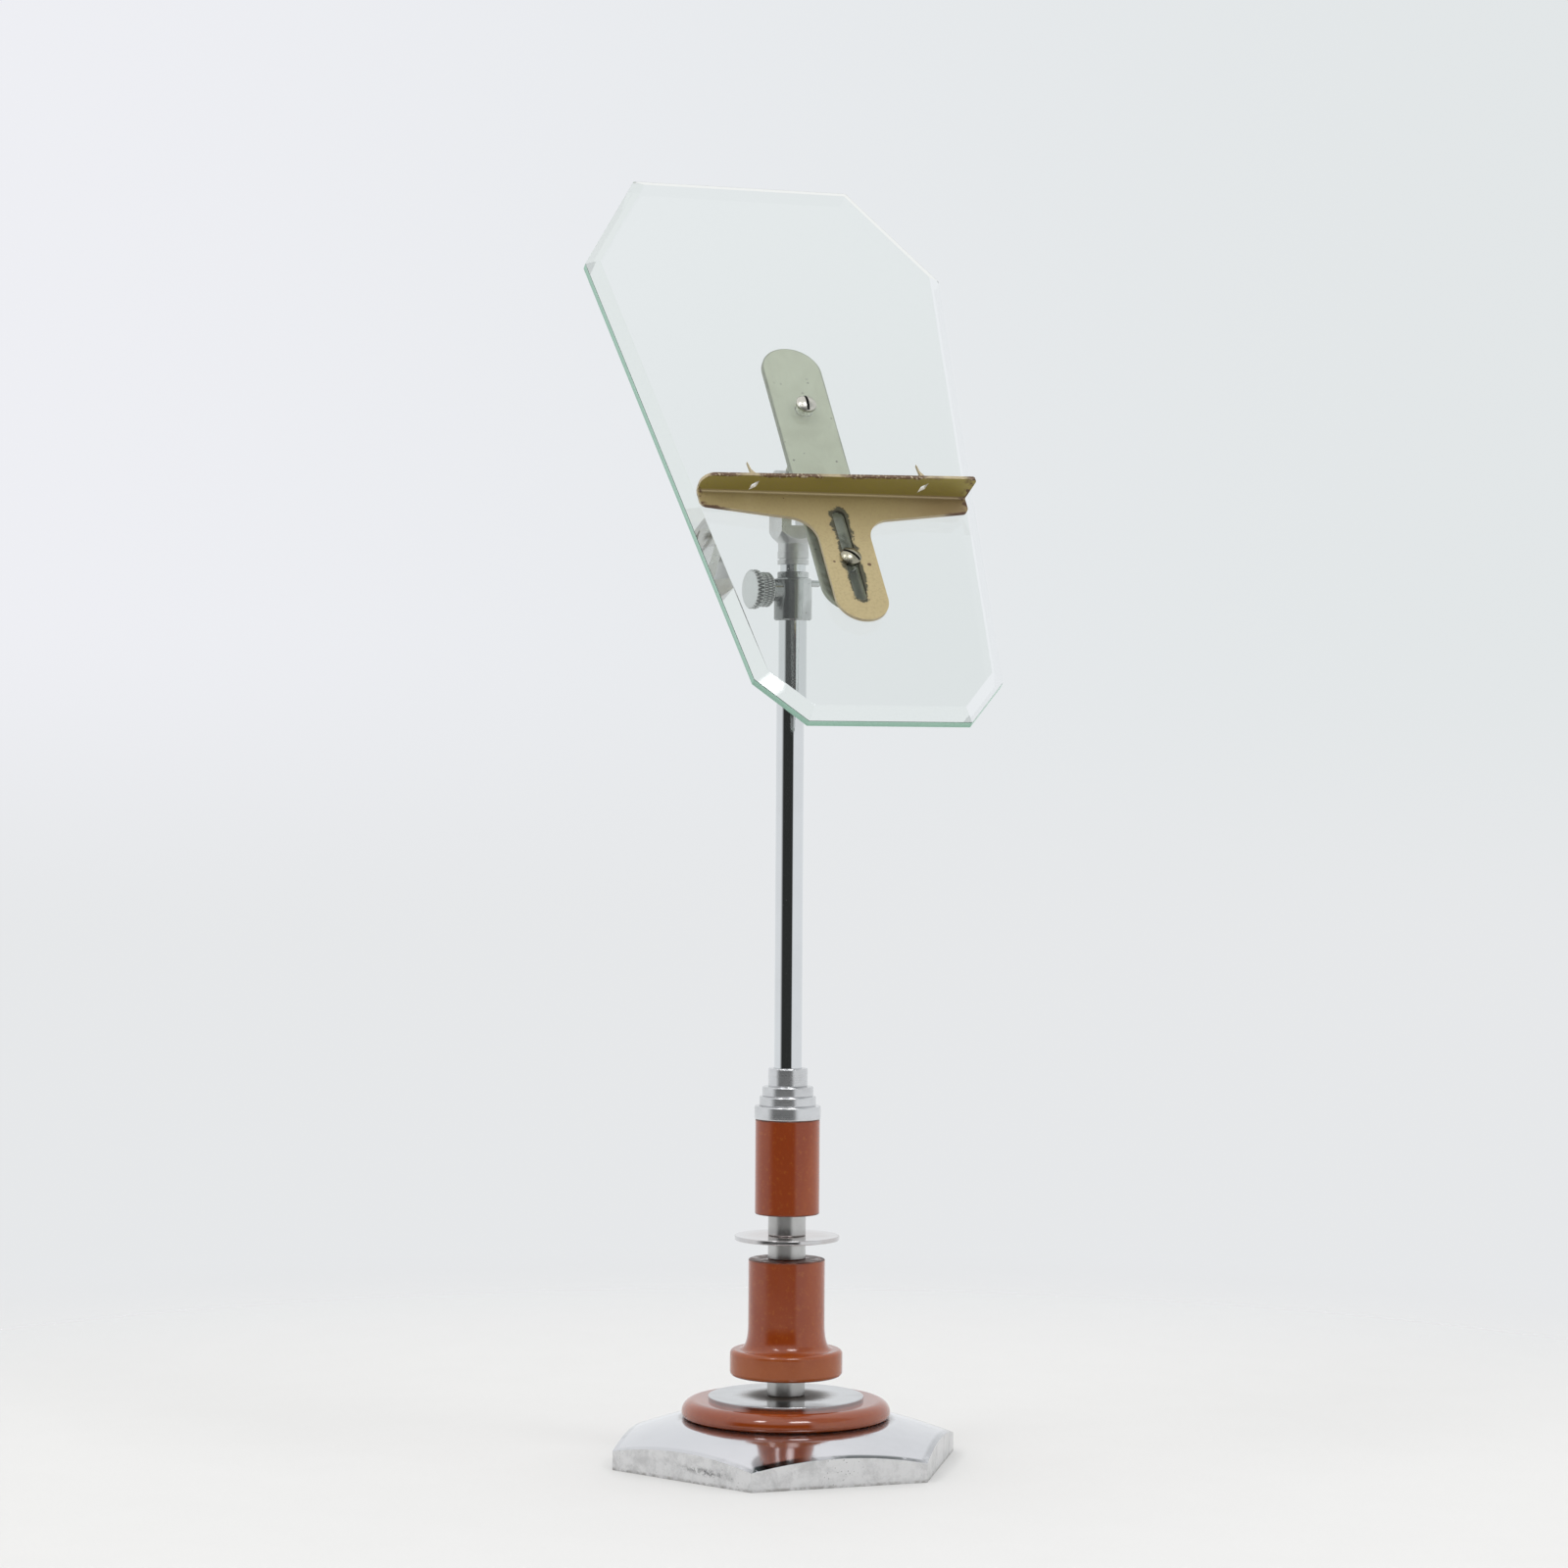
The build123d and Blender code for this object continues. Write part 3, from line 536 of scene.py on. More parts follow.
def plainPlate(name, values):
    # Flat satin plate: faint grain along one way, soft stains and scattered pits.
    finish = Finish(name)
    grain = finish.noise(1.0, 4.0, 0.6, finish.stretch(values["grain"], values["grainTurn"]))
    stains = finish.noise(75.0, 4.0, 0.6, warp=0.5)
    fine = finish.noise(1500.0, 2.0)
    pits = finish.cells(330.0).rise(0.20, 0.09) * finish.noise(70.0, 3.0, 0.6).rise(0.56, 0.64)
    colour = finish.blend(stains.rise(0.35, 0.75), values["colour"], values["dull"])
    colour = finish.blend(grain.rise(0.4, 0.8) * 0.3, colour, values["dull"])
    if "grimeAndShade" in values:
        # darker along the outline, painted shadow of the shelf's stem on the lower left side, and painted
        # shade under the shelf's slot where the shelf hides the strap
        across, up = panelAxes(finish)[:2]
        border = values["outline"]
        beyond = up - up.most(values["low"]).least(values["high"])
        side = (across * across + beyond * beyond) ** 0.5
        edge = (side + (stains - 0.5) * 0.0004).rise(border - 0.0007, border - 0.0001)
        shade = across.rise(*values["shadeSide"]) * side.rise(border, border - 0.0009)
        shade = shade * up.rise(*values["shadeTop"]) * (0.55 + stains.rise(0.35, 0.60) * 0.45)
        # painted shade: the strap is darkened round the lower screw, behind the shelf
        bareAndShaded = abs(across).rise(0.0036, 0.0022) * abs(up - values["slotMiddle"]).rise(0.023, 0.017)
        bareAndShaded = bareAndShaded * (0.35 + stains.rise(0.38, 0.52) * 0.65)
        for mask, strength in ((edge, 0.65), (shade, 0.85), (bareAndShaded, 0.80)):
            colour = finish.blend(mask * strength, colour, values["grimeAndShade"])
        pits = pits.most(finish.cells(210.0).rise(0.10, 0.05) * up.rise(0.012, -0.012))
    colour = finish.blend(pits * 0.8, colour, (0.10, 0.095, 0.085))
    roughness = values["roughness"] + stains * 0.10 + grain * 0.06 + pits * 0.2
    return finish.set(
        Base_Color=colour, Metallic=values["metal"], Roughness=roughness,
        Normal=finish.bump(grain * 0.5 + fine * 0.3 - pits, 0.3, 0.00003))


strapPlate = {
    "colour": (0.660, 0.680, 0.560), "dull": (0.585, 0.600, 0.485), "roughness": 0.45, "metal": 0.25,
    "grain": (1600.0, 160.0, 160.0), "grainTurn": (0, 0, 0), "grimeAndShade": (0.105, 0.115, 0.085),
    "outline": 0.0110, "low": -0.0657, "high": 0.0345, "slotMiddle": -0.0560,
    "shadeSide": (-0.0062, -0.0078), "shadeTop": (-0.0300, -0.0360),
}
screwPlate = {
    "colour": (0.60, 0.59, 0.53), "dull": (0.42, 0.405, 0.36), "roughness": 0.20, "metal": 1.0,
    "grain": (1800.0, 1800.0, 400.0), "grainTurn": (0.4, 0, 0),
}
# a darker copy of the screw finish, for the lower screw
darkerScrewPlate = {**screwPlate, "colour": (0.37, 0.355, 0.275), "dull": (0.25, 0.235, 0.185)}

bakelite = {
    "colour": (0.330, 0.062, 0.0080), "red": (0.270, 0.042, 0.0060), "amber": (0.410, 0.105, 0.014),
    "gloss": {"base_ring": 0.045, "bell": 0.12, "grip_cylinder": 0.16},
    "sheen": {"base_ring": 0.76, "bell": 0.60, "grip_cylinder": 0.52},
    "grimeAndShade": (0.055, 0.016, 0.008), "seamHeight": 0.0007, "bounceLightSpan": (0.013, 0.003),
}


def amberBakelite(node, values, levels):
    # Cast phenolic: slow drifts between red and amber, faint grain, grime at the joints, and painted bounce
    # light on the bell's lower part.
    finish = Finish(node + "Bakelite")
    z = finish.axes(finish.place())[2]
    drift = finish.noise(24.0, 3.0, 0.55, finish.stretch((1.0, 1.0, 0.45)), 0.8)
    cloud = finish.noise(130.0, 4.0, 0.6)
    grain = finish.noise(1900.0, 2.0, 0.5)
    colour = finish.blend(drift.rise(0.30, 0.55), values["red"], values["colour"])
    colour = finish.blend(drift.rise(0.52, 0.78), colour, values["amber"])
    colour = finish.blend(cloud.rise(0.35, 0.9) * 0.30, colour, values["red"])
    speckle = finish.noise(620.0, 3.0, 0.7)
    colour = finish.blend(grain.rise(0.55, 0.85) * 0.22, colour, values["amber"])
    colour = finish.blend(speckle.rise(0.52, 0.72) * 0.45, colour, values["amber"])
    colour = finish.blend(speckle.rise(0.46, 0.30) * 0.40, colour, values["red"])
    # painted light: the bell turns more amber towards its rim, for light bounced up from the chrome foot
    if node == "bell":
        first, last = (levels[0] + height for height in values["bounceLightSpan"])
        colour = finish.blend(z.rise(first, last) * 0.55, colour, values["amber"])
    if node == "base_ring":
        colour = finish.blend(0.50, colour, values["red"])
    seam = abs(z - levels[0])
    for level in levels[1:]:
        seam = seam.least(abs(z - level))
    grimeAndShade = seam.rise(values["seamHeight"], values["seamHeight"] * 0.15)
    grimeAndShade = grimeAndShade * finish.noise(330.0, 3.0, 0.6).rise(0.25, 0.60)
    colour = finish.blend(grimeAndShade * 0.8, colour, values["grimeAndShade"])
    scratches = finish.noise(1.0, 2.0, 0.5, finish.stretch((420.0, 420.0, 42.0), (0.5, 0.2, 0)))
    roughness = values["gloss"][node] + cloud * 0.08 + grimeAndShade * 0.3 + scratches.rise(0.62, 0.75) * 0.08
    return finish.set(
        Base_Color=colour, Roughness=roughness, IOR=1.50, Specular_IOR_Level=values["sheen"][node],
        Normal=finish.bump(grain * 0.35 + cloud * 0.5 + scratches * 0.3, 0.07, 0.00005))


def panelBox(node):
    # Lowest and highest places of a CAD node along the panel's axes.
    points = [v.co - panelOrigin for v in frame["nodes"][node].data.vertices]
    rows = [[p.dot(axis) for p in points] for axis in (sideways, panelUp, panelOut)]
    return [min(row) for row in rows], [max(row) for row in rows]


# Places on the shelf are along the panel's axes.
shelf = {
    "slotLow": -0.0738, "slotHigh": -0.0379, "slotHalf": 0.0023, "webFront": glassThickness + 0.00125,
    "crease": -0.0282, "front": panelBox("shelf_bracket")[1][2], "frontSlope": 0.0223,
    "halfWidth": 0.0492, "tipDrop": 0.0064, "lowSlope": 0.146, "softEdge": 0.00030,
    "lips": (-0.0297, 0.0319), "lipHalf": 0.0030,
}
gold = {
    "colour": (0.385, 0.305, 0.145), "stemLit": (0.530, 0.435, 0.235), "shadedOlive": (0.330, 0.268, 0.068),
    "brown": (0.310, 0.222, 0.118), "bareAndShaded": (0.058, 0.060, 0.044), "rust": (0.085, 0.030, 0.014),
    "highlightAndChip": (0.620, 0.520, 0.360), "roughness": 0.38, "metal": 0.45,
    "lipHighlight": (0.86, 0.83, 0.76), "lipDark": (0.62, 0.56, 0.44),
    "wornSpan": (0.00135, 0.00060), "chipSpan": (0.00110, 0.00030), "nibbleSpan": (0.00060, 0.00010),
    "spots": (((-0.0063, -0.0590), 0.00060), ((0.0062, -0.0600), 0.00085), ((0.0023, -0.0345), 0.00045)),
}


def goldPaint(name, values, shape, cutEdge):
    # Gold enamel on sheet steel, with painted shade on the ledge and just under it. On a cut edge, and
    # faintly along the bend, the colour is a pale cream painted highlight.
    finish = Finish(name)
    across, up, out = panelAxes(finish)
    ragged = finish.noise(300.0, 5.0, 0.65, warp=0.7)
    broad = finish.noise(60.0, 4.0, 0.6)
    fine = finish.noise(1100.0, 3.0, 0.6)
    tooth = ragged - 0.5
    beforeWeb = out - shape["webFront"]
    aboveCrease = up - shape["crease"]
    fromTip = shape["halfWidth"] - abs(across)
    # worn by the screw round the slot
    beyond = up - up.most(shape["slotLow"]).least(shape["slotHigh"])
    rim = (across * across + beyond * beyond) ** 0.5 - shape["slotHalf"]
    wornAndReflected = (rim - tooth * 0.0055 + (0.5 - broad) * 0.0060).rise(*values["wornSpan"])
    wornAndReflected = wornAndReflected * beforeWeb.rise(0.0012, 0.0004)
    # chipped along the ledge's front, at both tips and under the wings
    front = shape["front"] - (shape["halfWidth"] - across) * shape["frontSlope"] - out
    chips = (front + tooth * 0.0028).rise(*values["chipSpan"]) * broad.rise(0.36, 0.50)
    ends = (fromTip - tooth * 0.006).rise(0.0030, 0.0) * ragged.rise(0.48, 0.58)
    below = aboveCrease + shape["tipDrop"] + fromTip * shape["lowSlope"]
    nibbled = (abs(below) + tooth * 0.0022).rise(*values["nibbleSpan"]) * fromTip.rise(0.0122, 0.0052)
    damage = chips.most(nibbled).most(ends)
    # small rust spots, a few of them in set places
    damage = damage.most(finish.cells(150.0).rise(0.055, 0.03) * broad.rise(0.52, 0.60))
    for (spotAcross, spotUp), size in values["spots"]:
        away = ((across - spotAcross) ** 2 + (up - spotUp) ** 2) ** 0.5
        damage = damage.most((away + tooth * 0.0007).rise(size, size * 0.55))
    # painted shade: the ledge in front of the web takes a dark olive
    ledgeShade = beforeWeb.rise(0.0006, 0.0014)
    crease = abs(aboveCrease + 0.0004).rise(0.00055, 0.0002) * abs(beforeWeb).rise(0.0010, 0.0005)
    # painted light and shade: the stem is lighter further below the ledge and darker right under it
    stem = aboveCrease.rise(-0.009, -0.030)
    colour = finish.blend(stem * 0.85 + broad * 0.15, values["colour"], values["stemLit"])
    colour = finish.blend(across.rise(0.012, 0.044) * 0.75, colour, values["brown"])
    colour = finish.blend(ledgeShade, colour, values["shadedOlive"])
    colour = finish.blend(fine.rise(0.42, 0.72) * 0.30, colour, values["brown"])
    # painted highlight: cut edges and the bend are made pale cream; paint chips along the front show the
    # same cream
    colour = finish.blend(0.75 if cutEdge else crease * 0.16, colour, values["highlightAndChip"])
    colour = finish.blend(wornAndReflected * 0.92, colour, values["bareAndShaded"])
    colour = finish.blend(damage * 0.88, colour, values["rust"])
    colour = finish.blend(chips * fine.rise(0.55, 0.62) * 0.8, colour, values["highlightAndChip"])
    lost = wornAndReflected.most(damage)
    roughness = values["roughness"] + broad * 0.10 + lost * 0.22
    height = broad * 0.25 + fine * 0.35 - lost
    return finish.set(
        Base_Color=colour, Metallic=values["metal"] * (1 - damage), Roughness=roughness,
        Normal=finish.bump(height, 0.40, 0.00009))


def highlightLip(values):
    # The torn walls of the two holes that the prongs were punched from, painted bright as a highlight.
    finish = Finish("highlightLip")
    fine = finish.noise(1800.0, 3.0, 0.6)
    colour = finish.blend(fine.rise(0.35, 0.75), values["lipHighlight"], values["lipDark"])
    return finish.set(
        Base_Color=colour, Metallic=0.3, Roughness=0.35 + fine * 0.2,
        Normal=finish.bump(fine, 0.3, 0.00003))


glassLook = {
    "tint": (0.938, 0.965, 0.948), "edge": (0.26, 0.47, 0.36), "edgeLight": (0.40, 0.62, 0.50),
    "inner": (0.90, 0.97, 0.93), "innerRoughness": 0.08, "ior": 1.52, "arris": 0.00028,
    "backGap": 0.00008, "holeZone": 0.062,
}


def clearGlass(values):
    # Polished plate glass with dust, a few hairline scratches and old rubbed spots.
    finish = Finish("clearGlass")
    dust = finish.cells(240.0).rise(0.055, 0.02) * finish.noise(45.0, 2.0).rise(0.52, 0.62)
    smear = finish.noise(14.0, 4.0, 0.6, warp=1.2)
    lines = finish.noise(1.0, 2.0, 0.4, finish.stretch((60.0, 900.0, 900.0), (0.6, 0.3, 0.9)))
    haze = smear.rise(0.60, 0.90) * 0.002 + dust * 0.4 + lines.rise(0.78, 0.84) * 0.06
    colour = finish.blend(dust * 0.5, values["tint"], (0.75, 0.76, 0.74))
    return finish.set(
        Base_Color=colour, Roughness=haze, Transmission_Weight=1.0, IOR=values["ior"],
        Normal=finish.bump(smear, 0.01, 0.00005))


def groundEdge(values):
    # The cut edge: from outside it shows the depth of green glass, from inside it lets light through.
    finish = Finish("groundEdge")
    out = panelAxes(finish)[2]
    mottle = finish.noise(120.0, 4.0, 0.6)
    fine = finish.noise(1400.0, 2.0)
    thin = out.rise(0.0004, 0.0026)
    colour = finish.blend(thin * 0.45 + mottle * 0.35, values["edge"], values["edgeLight"])
    finish.set(
        Base_Color=colour, Roughness=0.22 + mottle * 0.1, IOR=values["ior"],
        Normal=finish.bump(fine, 0.08, 0.00003))
    inner = finish.tree.nodes.new("ShaderNodeBsdfGlass")
    inner.inputs["Color"].default_value = (*values["inner"], 1.0)
    inner.inputs["Roughness"].default_value = values["innerRoughness"]
    inner.inputs["IOR"].default_value = values["ior"]
    inside = finish.add("ShaderNodeNewGeometry", output="Backfacing")
    mixer = finish.tree.nodes.new("ShaderNodeMixShader")
    finish.tree.links.new(inside.socket, mixer.inputs[0])
    finish.tree.links.new(finish.shader.outputs[0], mixer.inputs[1])
    finish.tree.links.new(inner.outputs[0], mixer.inputs[2])
    finish.tree.links.new(mixer.outputs[0], finish.out.inputs["Surface"])
    return finish.material


def wear(node, material):
    # A CAD node keeps its shape and takes a finish.
    thing = frame["nodes"][node]
    thing.data.materials.clear()
    thing.data.materials.append(material)


finishes = (
    (polishedPlate("columnPlate", columnPlate), ("column_tube", "inner_rod")),
    (polishedPlate("sleevePlate", sleevePlate), ("clamp_sleeve", "guide_bush", "sleeve_pin")),
    (polishedPlate("washerPlate", washerPlate), ("wide_washer",)),
    (polishedPlate("discPlate", discPlate), ("thin_disc",)),
    (turnedMetal("turnedSpacer", spindle), ("lower_spacer", "middle_spacer", "upper_spacer")),
    (turnedMetal("turnedCollar", collarMetal), ("stepped_collar",)),
    (turnedMetal("turnedHead", headMetal), ("swivel_head", "tilt_bolt", "tilt_nut")),
    (turnedMetal("plainSteel", steelParts),
     ("tie_washer", "tie_nut", "tie_rod", "spring_washer", "panel_nuts")),
    (plainPlate("strapPlate", strapPlate), ("back_strap", "tilt_lug")),
)
for material, nodes in finishes:
    for node in nodes:
        wear(node, material)
for node in ("base_ring", "bell", "grip_cylinder"):
    low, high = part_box(node)
    levels = (low.z,) if node == "base_ring" else (low.z, high.z)
    wear(node, amberBakelite(node, bakelite, levels))
print("finishes ready")


def copyOf(node):
    # A merged copy of a CAD node's mesh, for refining.
    shape = bmesh.new()
    shape.from_mesh(frame["nodes"][node].data)
    bmesh.ops.remove_doubles(shape, verts=shape.verts, dist=1e-6)
    bmesh.ops.dissolve_limit(shape, angle_limit=radians(0.3), verts=shape.verts, edges=shape.edges)
    return shape


def finished(name, shape, body, replaced, materials, sharp):
    # A smooth piece that rides a body in place of a CAD node; edges over the sharp angle stay crisp.
    mesh = bpy.data.meshes.new(name)
    shape.to_mesh(mesh)
    shape.free()
    for material in materials:
        mesh.materials.append(material)
    mesh.shade_smooth()
    mesh.set_sharp_from_angle(angle=radians(sharp))
    thing = bpy.data.objects.new(name, mesh)
    scene.collection.objects.link(thing)
    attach(thing, body)
    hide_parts(replaced)
    return thing


def bevelled(thing, width, steps, angle):
    bevel = thing.modifiers.new("softEdges", "BEVEL")
    bevel.width = width
    bevel.segments = steps
    bevel.limit_method = "ANGLE"
    bevel.angle_limit = radians(angle)
    even = thing.modifiers.new("evenNormals", "WEIGHTED_NORMAL")
    even.keep_sharp = True


def makeGlass(values):
    shape = copyOf("glass_panel")
    for point in shape.verts:
        if (point.co - panelOrigin).dot(panelOut) < values["backGap"] / 2:
            point.co += panelOut * values["backGap"]  # clear of the strap, so that both surfaces show
    for face in shape.faces:
        middle = face.calc_center_median() - panelOrigin
        upright = abs(face.normal.dot(panelOut)) < 0.02
        outer = abs(middle.x) + abs(middle.dot(panelUp)) > values["holeZone"]  # the holes' walls stay clear
        face.material_index = 1 if upright and outer else 0
    materials = [clearGlass(values), groundEdge(values)]
    thing = finished("plate_glass", shape, "panel", "glass_panel", materials, 32)
    bevelled(thing, values["arris"], 2, 20)


makeGlass(glassLook)
print("glass ready")


def makeFoot(values):
    shape = copyOf("hex_base")
    thing = finished("foot_plate", shape, "base", "hex_base", [footPlate(values)], 40)
    bevelled(thing, values["rimRound"], 4, 40)


# CAD node, its finer piece, its body and the width of its rubbed edges
softEdged = (
    ("stepped_collar", "collar_tiers", "base", 0.00022),
    ("swivel_head", "fork_head", "head", 0.00025),
    ("lower_spacer", "spacer_low", "base", 0.00015),
    ("middle_spacer", "spacer_middle", "base", 0.00015),
    ("upper_spacer", "spacer_high", "base", 0.00015),
)


def makeSoftEdged(parts):
    for node, name, body, edge in parts:
        materials = list(frame["nodes"][node].data.materials)
        thing = finished(name, copyOf(node), body, node, materials, 30)
        bevelled(thing, edge, 2, 35)


def makeShelf(values):
    # Bent sheet with softened edges; the cut edges and the punched holes take their own finish.
    shape = copyOf("shelf_bracket")
    for face in shape.faces:
        middle = face.calc_center_median() - panelOrigin
        aboveCrease = middle.dot(panelUp) - values["crease"]
        beforeWeb = middle.dot(panelOut) - values["webFront"]
        flatWeb = abs(face.normal.dot(panelOut)) > 0.7 and beforeWeb < 0.0006
        flatLedge = abs(face.normal.dot(panelUp)) > 0.7 and aboveCrease > -0.0005
        bend = abs(face.normal.x) < 0.02 and beforeWeb < 0.0010 and aboveCrease > -0.002
        if flatWeb or flatLedge or bend:
            continue
        face.material_index = 1
        inLedge = -0.0002 < aboveCrease < 0.0014
        inLip = any(abs(middle.x - place) < values["lipHalf"] for place in values["lips"])
        if inLedge and inLip and middle.dot(panelOut) < values["front"] - 0.0012:
            face.material_index = 2
    paint = goldPaint("goldPaint", gold, values, False)
    cutEdge = goldPaint("goldEdge", gold, values, True)
    materials = [paint, cutEdge, highlightLip(gold)]
    thing = finished("shelf_sheet", shape, "shelf", "shelf_bracket", materials, 30)
    bevelled(thing, values["softEdge"], 2, 35)


makeFoot(foot)
makeSoftEdged(softEdged)
makeShelf(shelf)
print("foot and shelf ready")

# Rows of the thumb screw: mm from the column's axis, radius in mm, tooth height from 0 to 1.
thumb = {
    "rows": ((4.05, 0.0, 0), (4.05, 2.0, 0), (9.3, 2.0, 0), (9.5, 2.3, 0), (9.5, 5.4, 0), (9.7, 5.8, 0),
             (10.0, 6.1, 0.6), (10.15, 6.2, 1), (13.7, 6.2, 1), (13.9, 6.1, 0.5), (14.05, 6.0, 0),
             (14.1, 6.35, 0), (14.3, 6.7, 0.3), (14.5, 7.0, 1), (16.55, 7.0, 1), (16.8, 6.8, 0.5),
             (16.95, 6.5, 0), (17.0, 6.2, 0), (16.93, 4.0, 0), (16.90, 0.0, 0)),
    "rowGap": 0.13, "steps": 288, "headTeeth": 30.0, "neckTeeth": 40.0, "headStart": 0.0141,
    "headDepth": 0.00085, "neckDepth": 0.00055, "lean": 300.0,
}
thumbMetal = {
    **headMetal, "colour": (0.66, 0.675, 0.67), "dull": (0.56, 0.57, 0.56), "roughness": 0.24,
    "grooveShade": 0.95,
}


def finerRows(rows, gap):
    # Extra rows wherever both ends of a stretch carry teeth.
    result = [rows[0]]
    for first, last in zip(rows, rows[1:]):
        count = max(1, round((last[0] - first[0]) / gap)) if first[2] and last[2] else 1
        for step in range(1, count + 1):
            result.append(tuple(a + (b - a) * step / count for a, b in zip(first, last)))
    return result


def turnedShape(name, rows, centre, axis, steps):
    # Rows spun round an axis, poles closed. Each point keeps its angle, place and tooth height.
    shape = bmesh.new()
    turnOf = shape.verts.layers.float.new("turn")
    alongOf = shape.verts.layers.float.new("along")
    toothOf = shape.verts.layers.float.new("tooth")
    outOf = shape.verts.layers.float_vector.new("outwards")
    first = axis.orthogonal().normalized()
    second = axis.cross(first)
    rings = []
    for along, radius, tooth in rows:
        ring = []
        for step in range(steps if radius else 1):
            angle = 2 * pi * step / steps
            out = first * cos(angle) + second * sin(angle)
            point = shape.verts.new(centre + axis * (along * mm) + out * (radius * mm))
            point[turnOf], point[alongOf], point[toothOf] = step / steps, along * mm, tooth
            point[outOf] = out
            ring.append(point)
        rings.append(ring)
    for low, high in zip(rings, rings[1:]):
        for step in range(steps):
            after = (step + 1) % steps
            if len(low) == 1:
                shape.faces.new((low[0], high[after], high[step]))
            elif len(high) == 1:
                shape.faces.new((low[step], low[after], high[0]))
            else:
                shape.faces.new((low[step], low[after], high[after], high[step]))
    bmesh.ops.recalc_face_normals(shape, faces=shape.faces)
    mesh = bpy.data.meshes.new(name)
    shape.to_mesh(mesh)
    shape.free()
    mesh.shade_smooth()
    thing = bpy.data.objects.new(name, mesh)
    scene.collection.objects.link(thing)
    return thing


def knurlTree():
    # Presses crossed slanting grooves into the rows that carry teeth.
    tree = bpy.data.node_groups.new("knurl", "GeometryNodeTree")
    tree.interface.new_socket("Geometry", in_out="INPUT", socket_type="NodeSocketGeometry")
    for name in ("headTeeth", "neckTeeth", "headStart", "headDepth", "neckDepth", "lean"):
        tree.interface.new_socket(name, in_out="INPUT", socket_type="NodeSocketFloat")
    tree.interface.new_socket("Finish", in_out="INPUT", socket_type="NodeSocketMaterial")
    tree.interface.new_socket("Geometry", in_out="OUTPUT", socket_type="NodeSocketGeometry")
    sheet = Sheet(tree)
    entry = tree.nodes.new("NodeGroupInput")
    given = {socket.name: Wire(tree, socket) for socket in entry.outputs if socket.name}

    def kept(name, kind="FLOAT"):
        return sheet.add("GeometryNodeInputNamedAttribute", {"data_type": kind}, {"Name": name})

    def ridge(value):
        return abs(value.join("FRACT", value) - 0.5) * 2

    turn, along, tooth = kept("turn"), kept("along"), kept("tooth")
    inHead = along.join("GREATER_THAN", along, given["headStart"])
    teeth = given["neckTeeth"] + (given["headTeeth"] - given["neckTeeth"]) * inHead
    depth = given["neckDepth"] + (given["headDepth"] - given["neckDepth"]) * inHead
    slant = along * given["lean"]
    crest = ridge(turn * teeth + slant).least(ridge(turn * teeth - slant))
    groove = (1 - (crest * 1.3).least(1.0)) * tooth
    push = sheet.add("ShaderNodeVectorMath", {"operation": "SCALE"}, {
        0: kept("outwards", "FLOAT_VECTOR"), "Scale": groove * depth * -1})
    moved = sheet.add("GeometryNodeSetPosition", {}, {"Geometry": given["Geometry"], "Offset": push})
    marked = sheet.add("GeometryNodeStoreNamedAttribute", {"data_type": "FLOAT", "domain": "POINT"}, {
        "Geometry": moved, "Name": "groove", "Value": groove})
    real = sheet.add("GeometryNodeRealizeInstances", {}, {"Geometry": marked})
    coloured = sheet.add("GeometryNodeSetMaterial", {}, {"Geometry": real, "Material": given["Finish"]})
    leave = tree.nodes.new("NodeGroupOutput")
    tree.links.new(coloured.socket, leave.inputs["Geometry"])
    return tree


def grown(thing, tree, values, material):
    # Runs a tree on a piece and keeps the result as a plain mesh.
    modifier = thing.modifiers.new("grow", "NODES")
    modifier.node_group = tree
    for item in tree.interface.items_tree:
        if item.in_out == "INPUT" and item.name in values:
            modifier[item.identifier] = values[item.name]
        elif item.in_out == "INPUT" and item.name == "Finish":
            modifier[item.identifier] = material
    evaluated = thing.evaluated_get(bpy.context.evaluated_depsgraph_get())
    mesh = bpy.data.meshes.new_from_object(evaluated)
    thing.modifiers.remove(modifier)
    thing.data = mesh


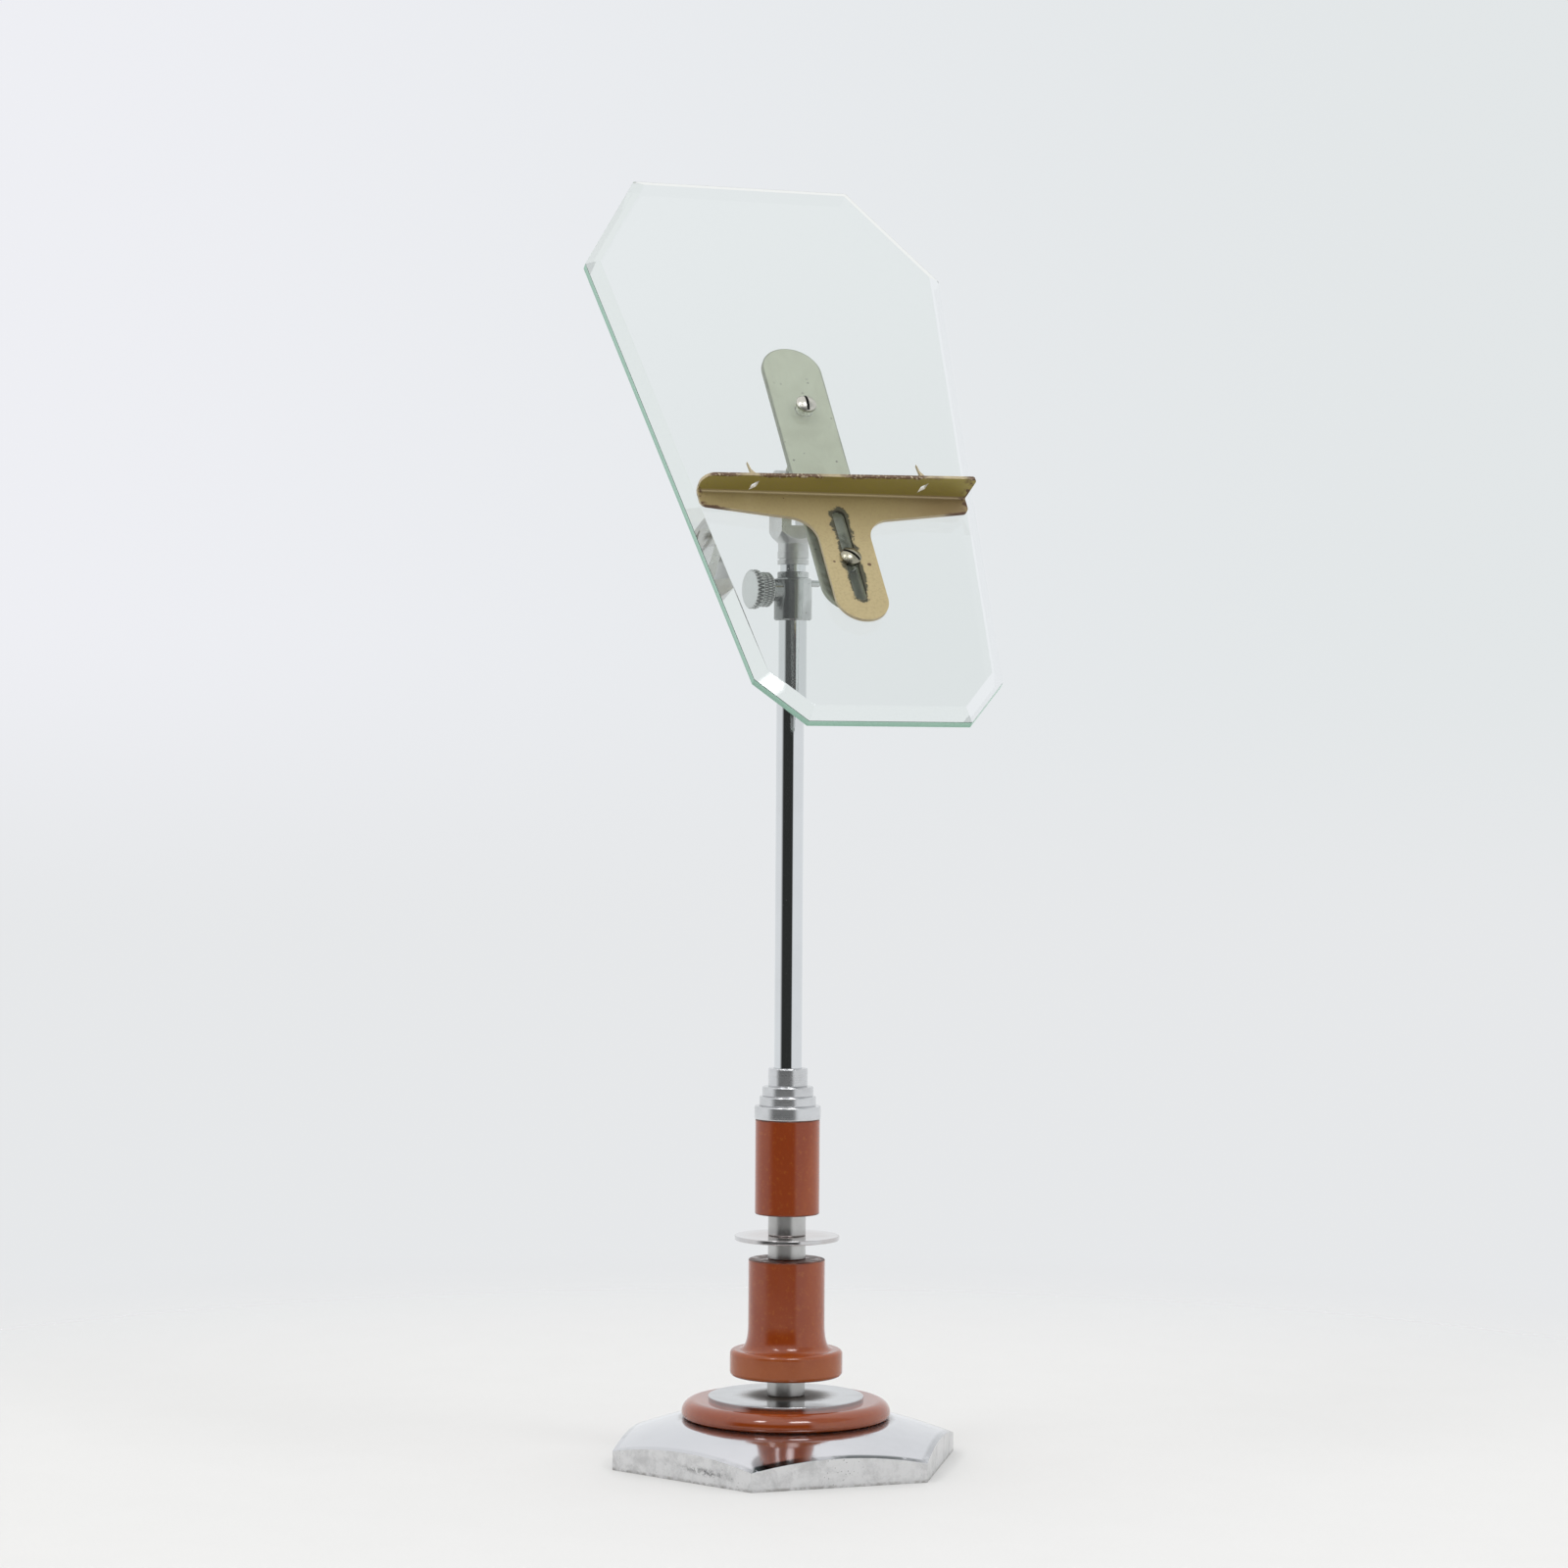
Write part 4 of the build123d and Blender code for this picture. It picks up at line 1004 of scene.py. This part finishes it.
def makeThumbScrew(values):
    clamp = joint("clamp_turn")
    axis = Vector(clamp["axis"]).normalized()
    axis = -axis if axis.x > 0 else axis
    low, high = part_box("thumb_screw")
    centre = Vector((0, 0, (low.z + high.z) / 2))
    rows = finerRows(values["rows"], values["rowGap"])
    thing = turnedShape("knurled_screw", rows, centre, axis, values["steps"])
    metal = turnedMetal("knurledMetal", {**thumbMetal, "centre": centre, "axis": axis})
    grown(thing, knurlTree(), values, metal)
    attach(thing, "clamp")
    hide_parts("thumb_screw")


slotted = {
    "edge": 0.00012,
    "headHeight": 0.0013,
    "headZone": 0.00345,   # upright faces nearer the axis than this are the slot's walls
    "slotZone": 0.00052,   # flat faces nearer the slot's middle line than this are its floor
    "slotTurns": {"upper_screw": 0, "lower_screw": 50},
}
slotMetal = {**steelParts, "colour": (0.05, 0.05, 0.045), "dull": (0.03, 0.03, 0.028)}


def makeScrew(node, values, material, slotDarkFinish):
    # Domed slotted head with softened edges; the slot's walls and floor are coloured near black.
    shape = copyOf(node)
    low, high = panelBox(node)
    turn = radians(values["slotTurns"][node])
    acrossSlot = sideways * cos(turn) + panelUp * sin(turn)
    middle = sideways * ((low[0] + high[0]) / 2) + panelUp * ((low[1] + high[1]) / 2)
    for face in shape.faces:
        place = face.calc_center_median() - panelOrigin
        height = place.dot(panelOut)
        fromMiddle = place - middle - panelOut * height
        wall = abs(face.normal.dot(panelOut)) < 0.1 and fromMiddle.length < values["headZone"]
        floor = face.normal.dot(panelOut) > 0.99 and abs(fromMiddle.dot(acrossSlot)) < values["slotZone"]
        inHead = height > high[2] - values["headHeight"]
        face.material_index = 1 if inHead and (wall or floor) else 0
    thing = finished(node + "_head", shape, "panel", node, [material, slotDarkFinish], 30)
    bevelled(thing, values["edge"], 2, 35)


slotDarkFinish = turnedMetal("slotDark", slotMetal)
makeScrew("upper_screw", slotted, plainPlate("screwPlate", screwPlate), slotDarkFinish)
makeScrew("lower_screw", slotted, plainPlate("darkerScrew", darkerScrewPlate), slotDarkFinish)
makeThumbScrew(thumb)
print("screws ready")
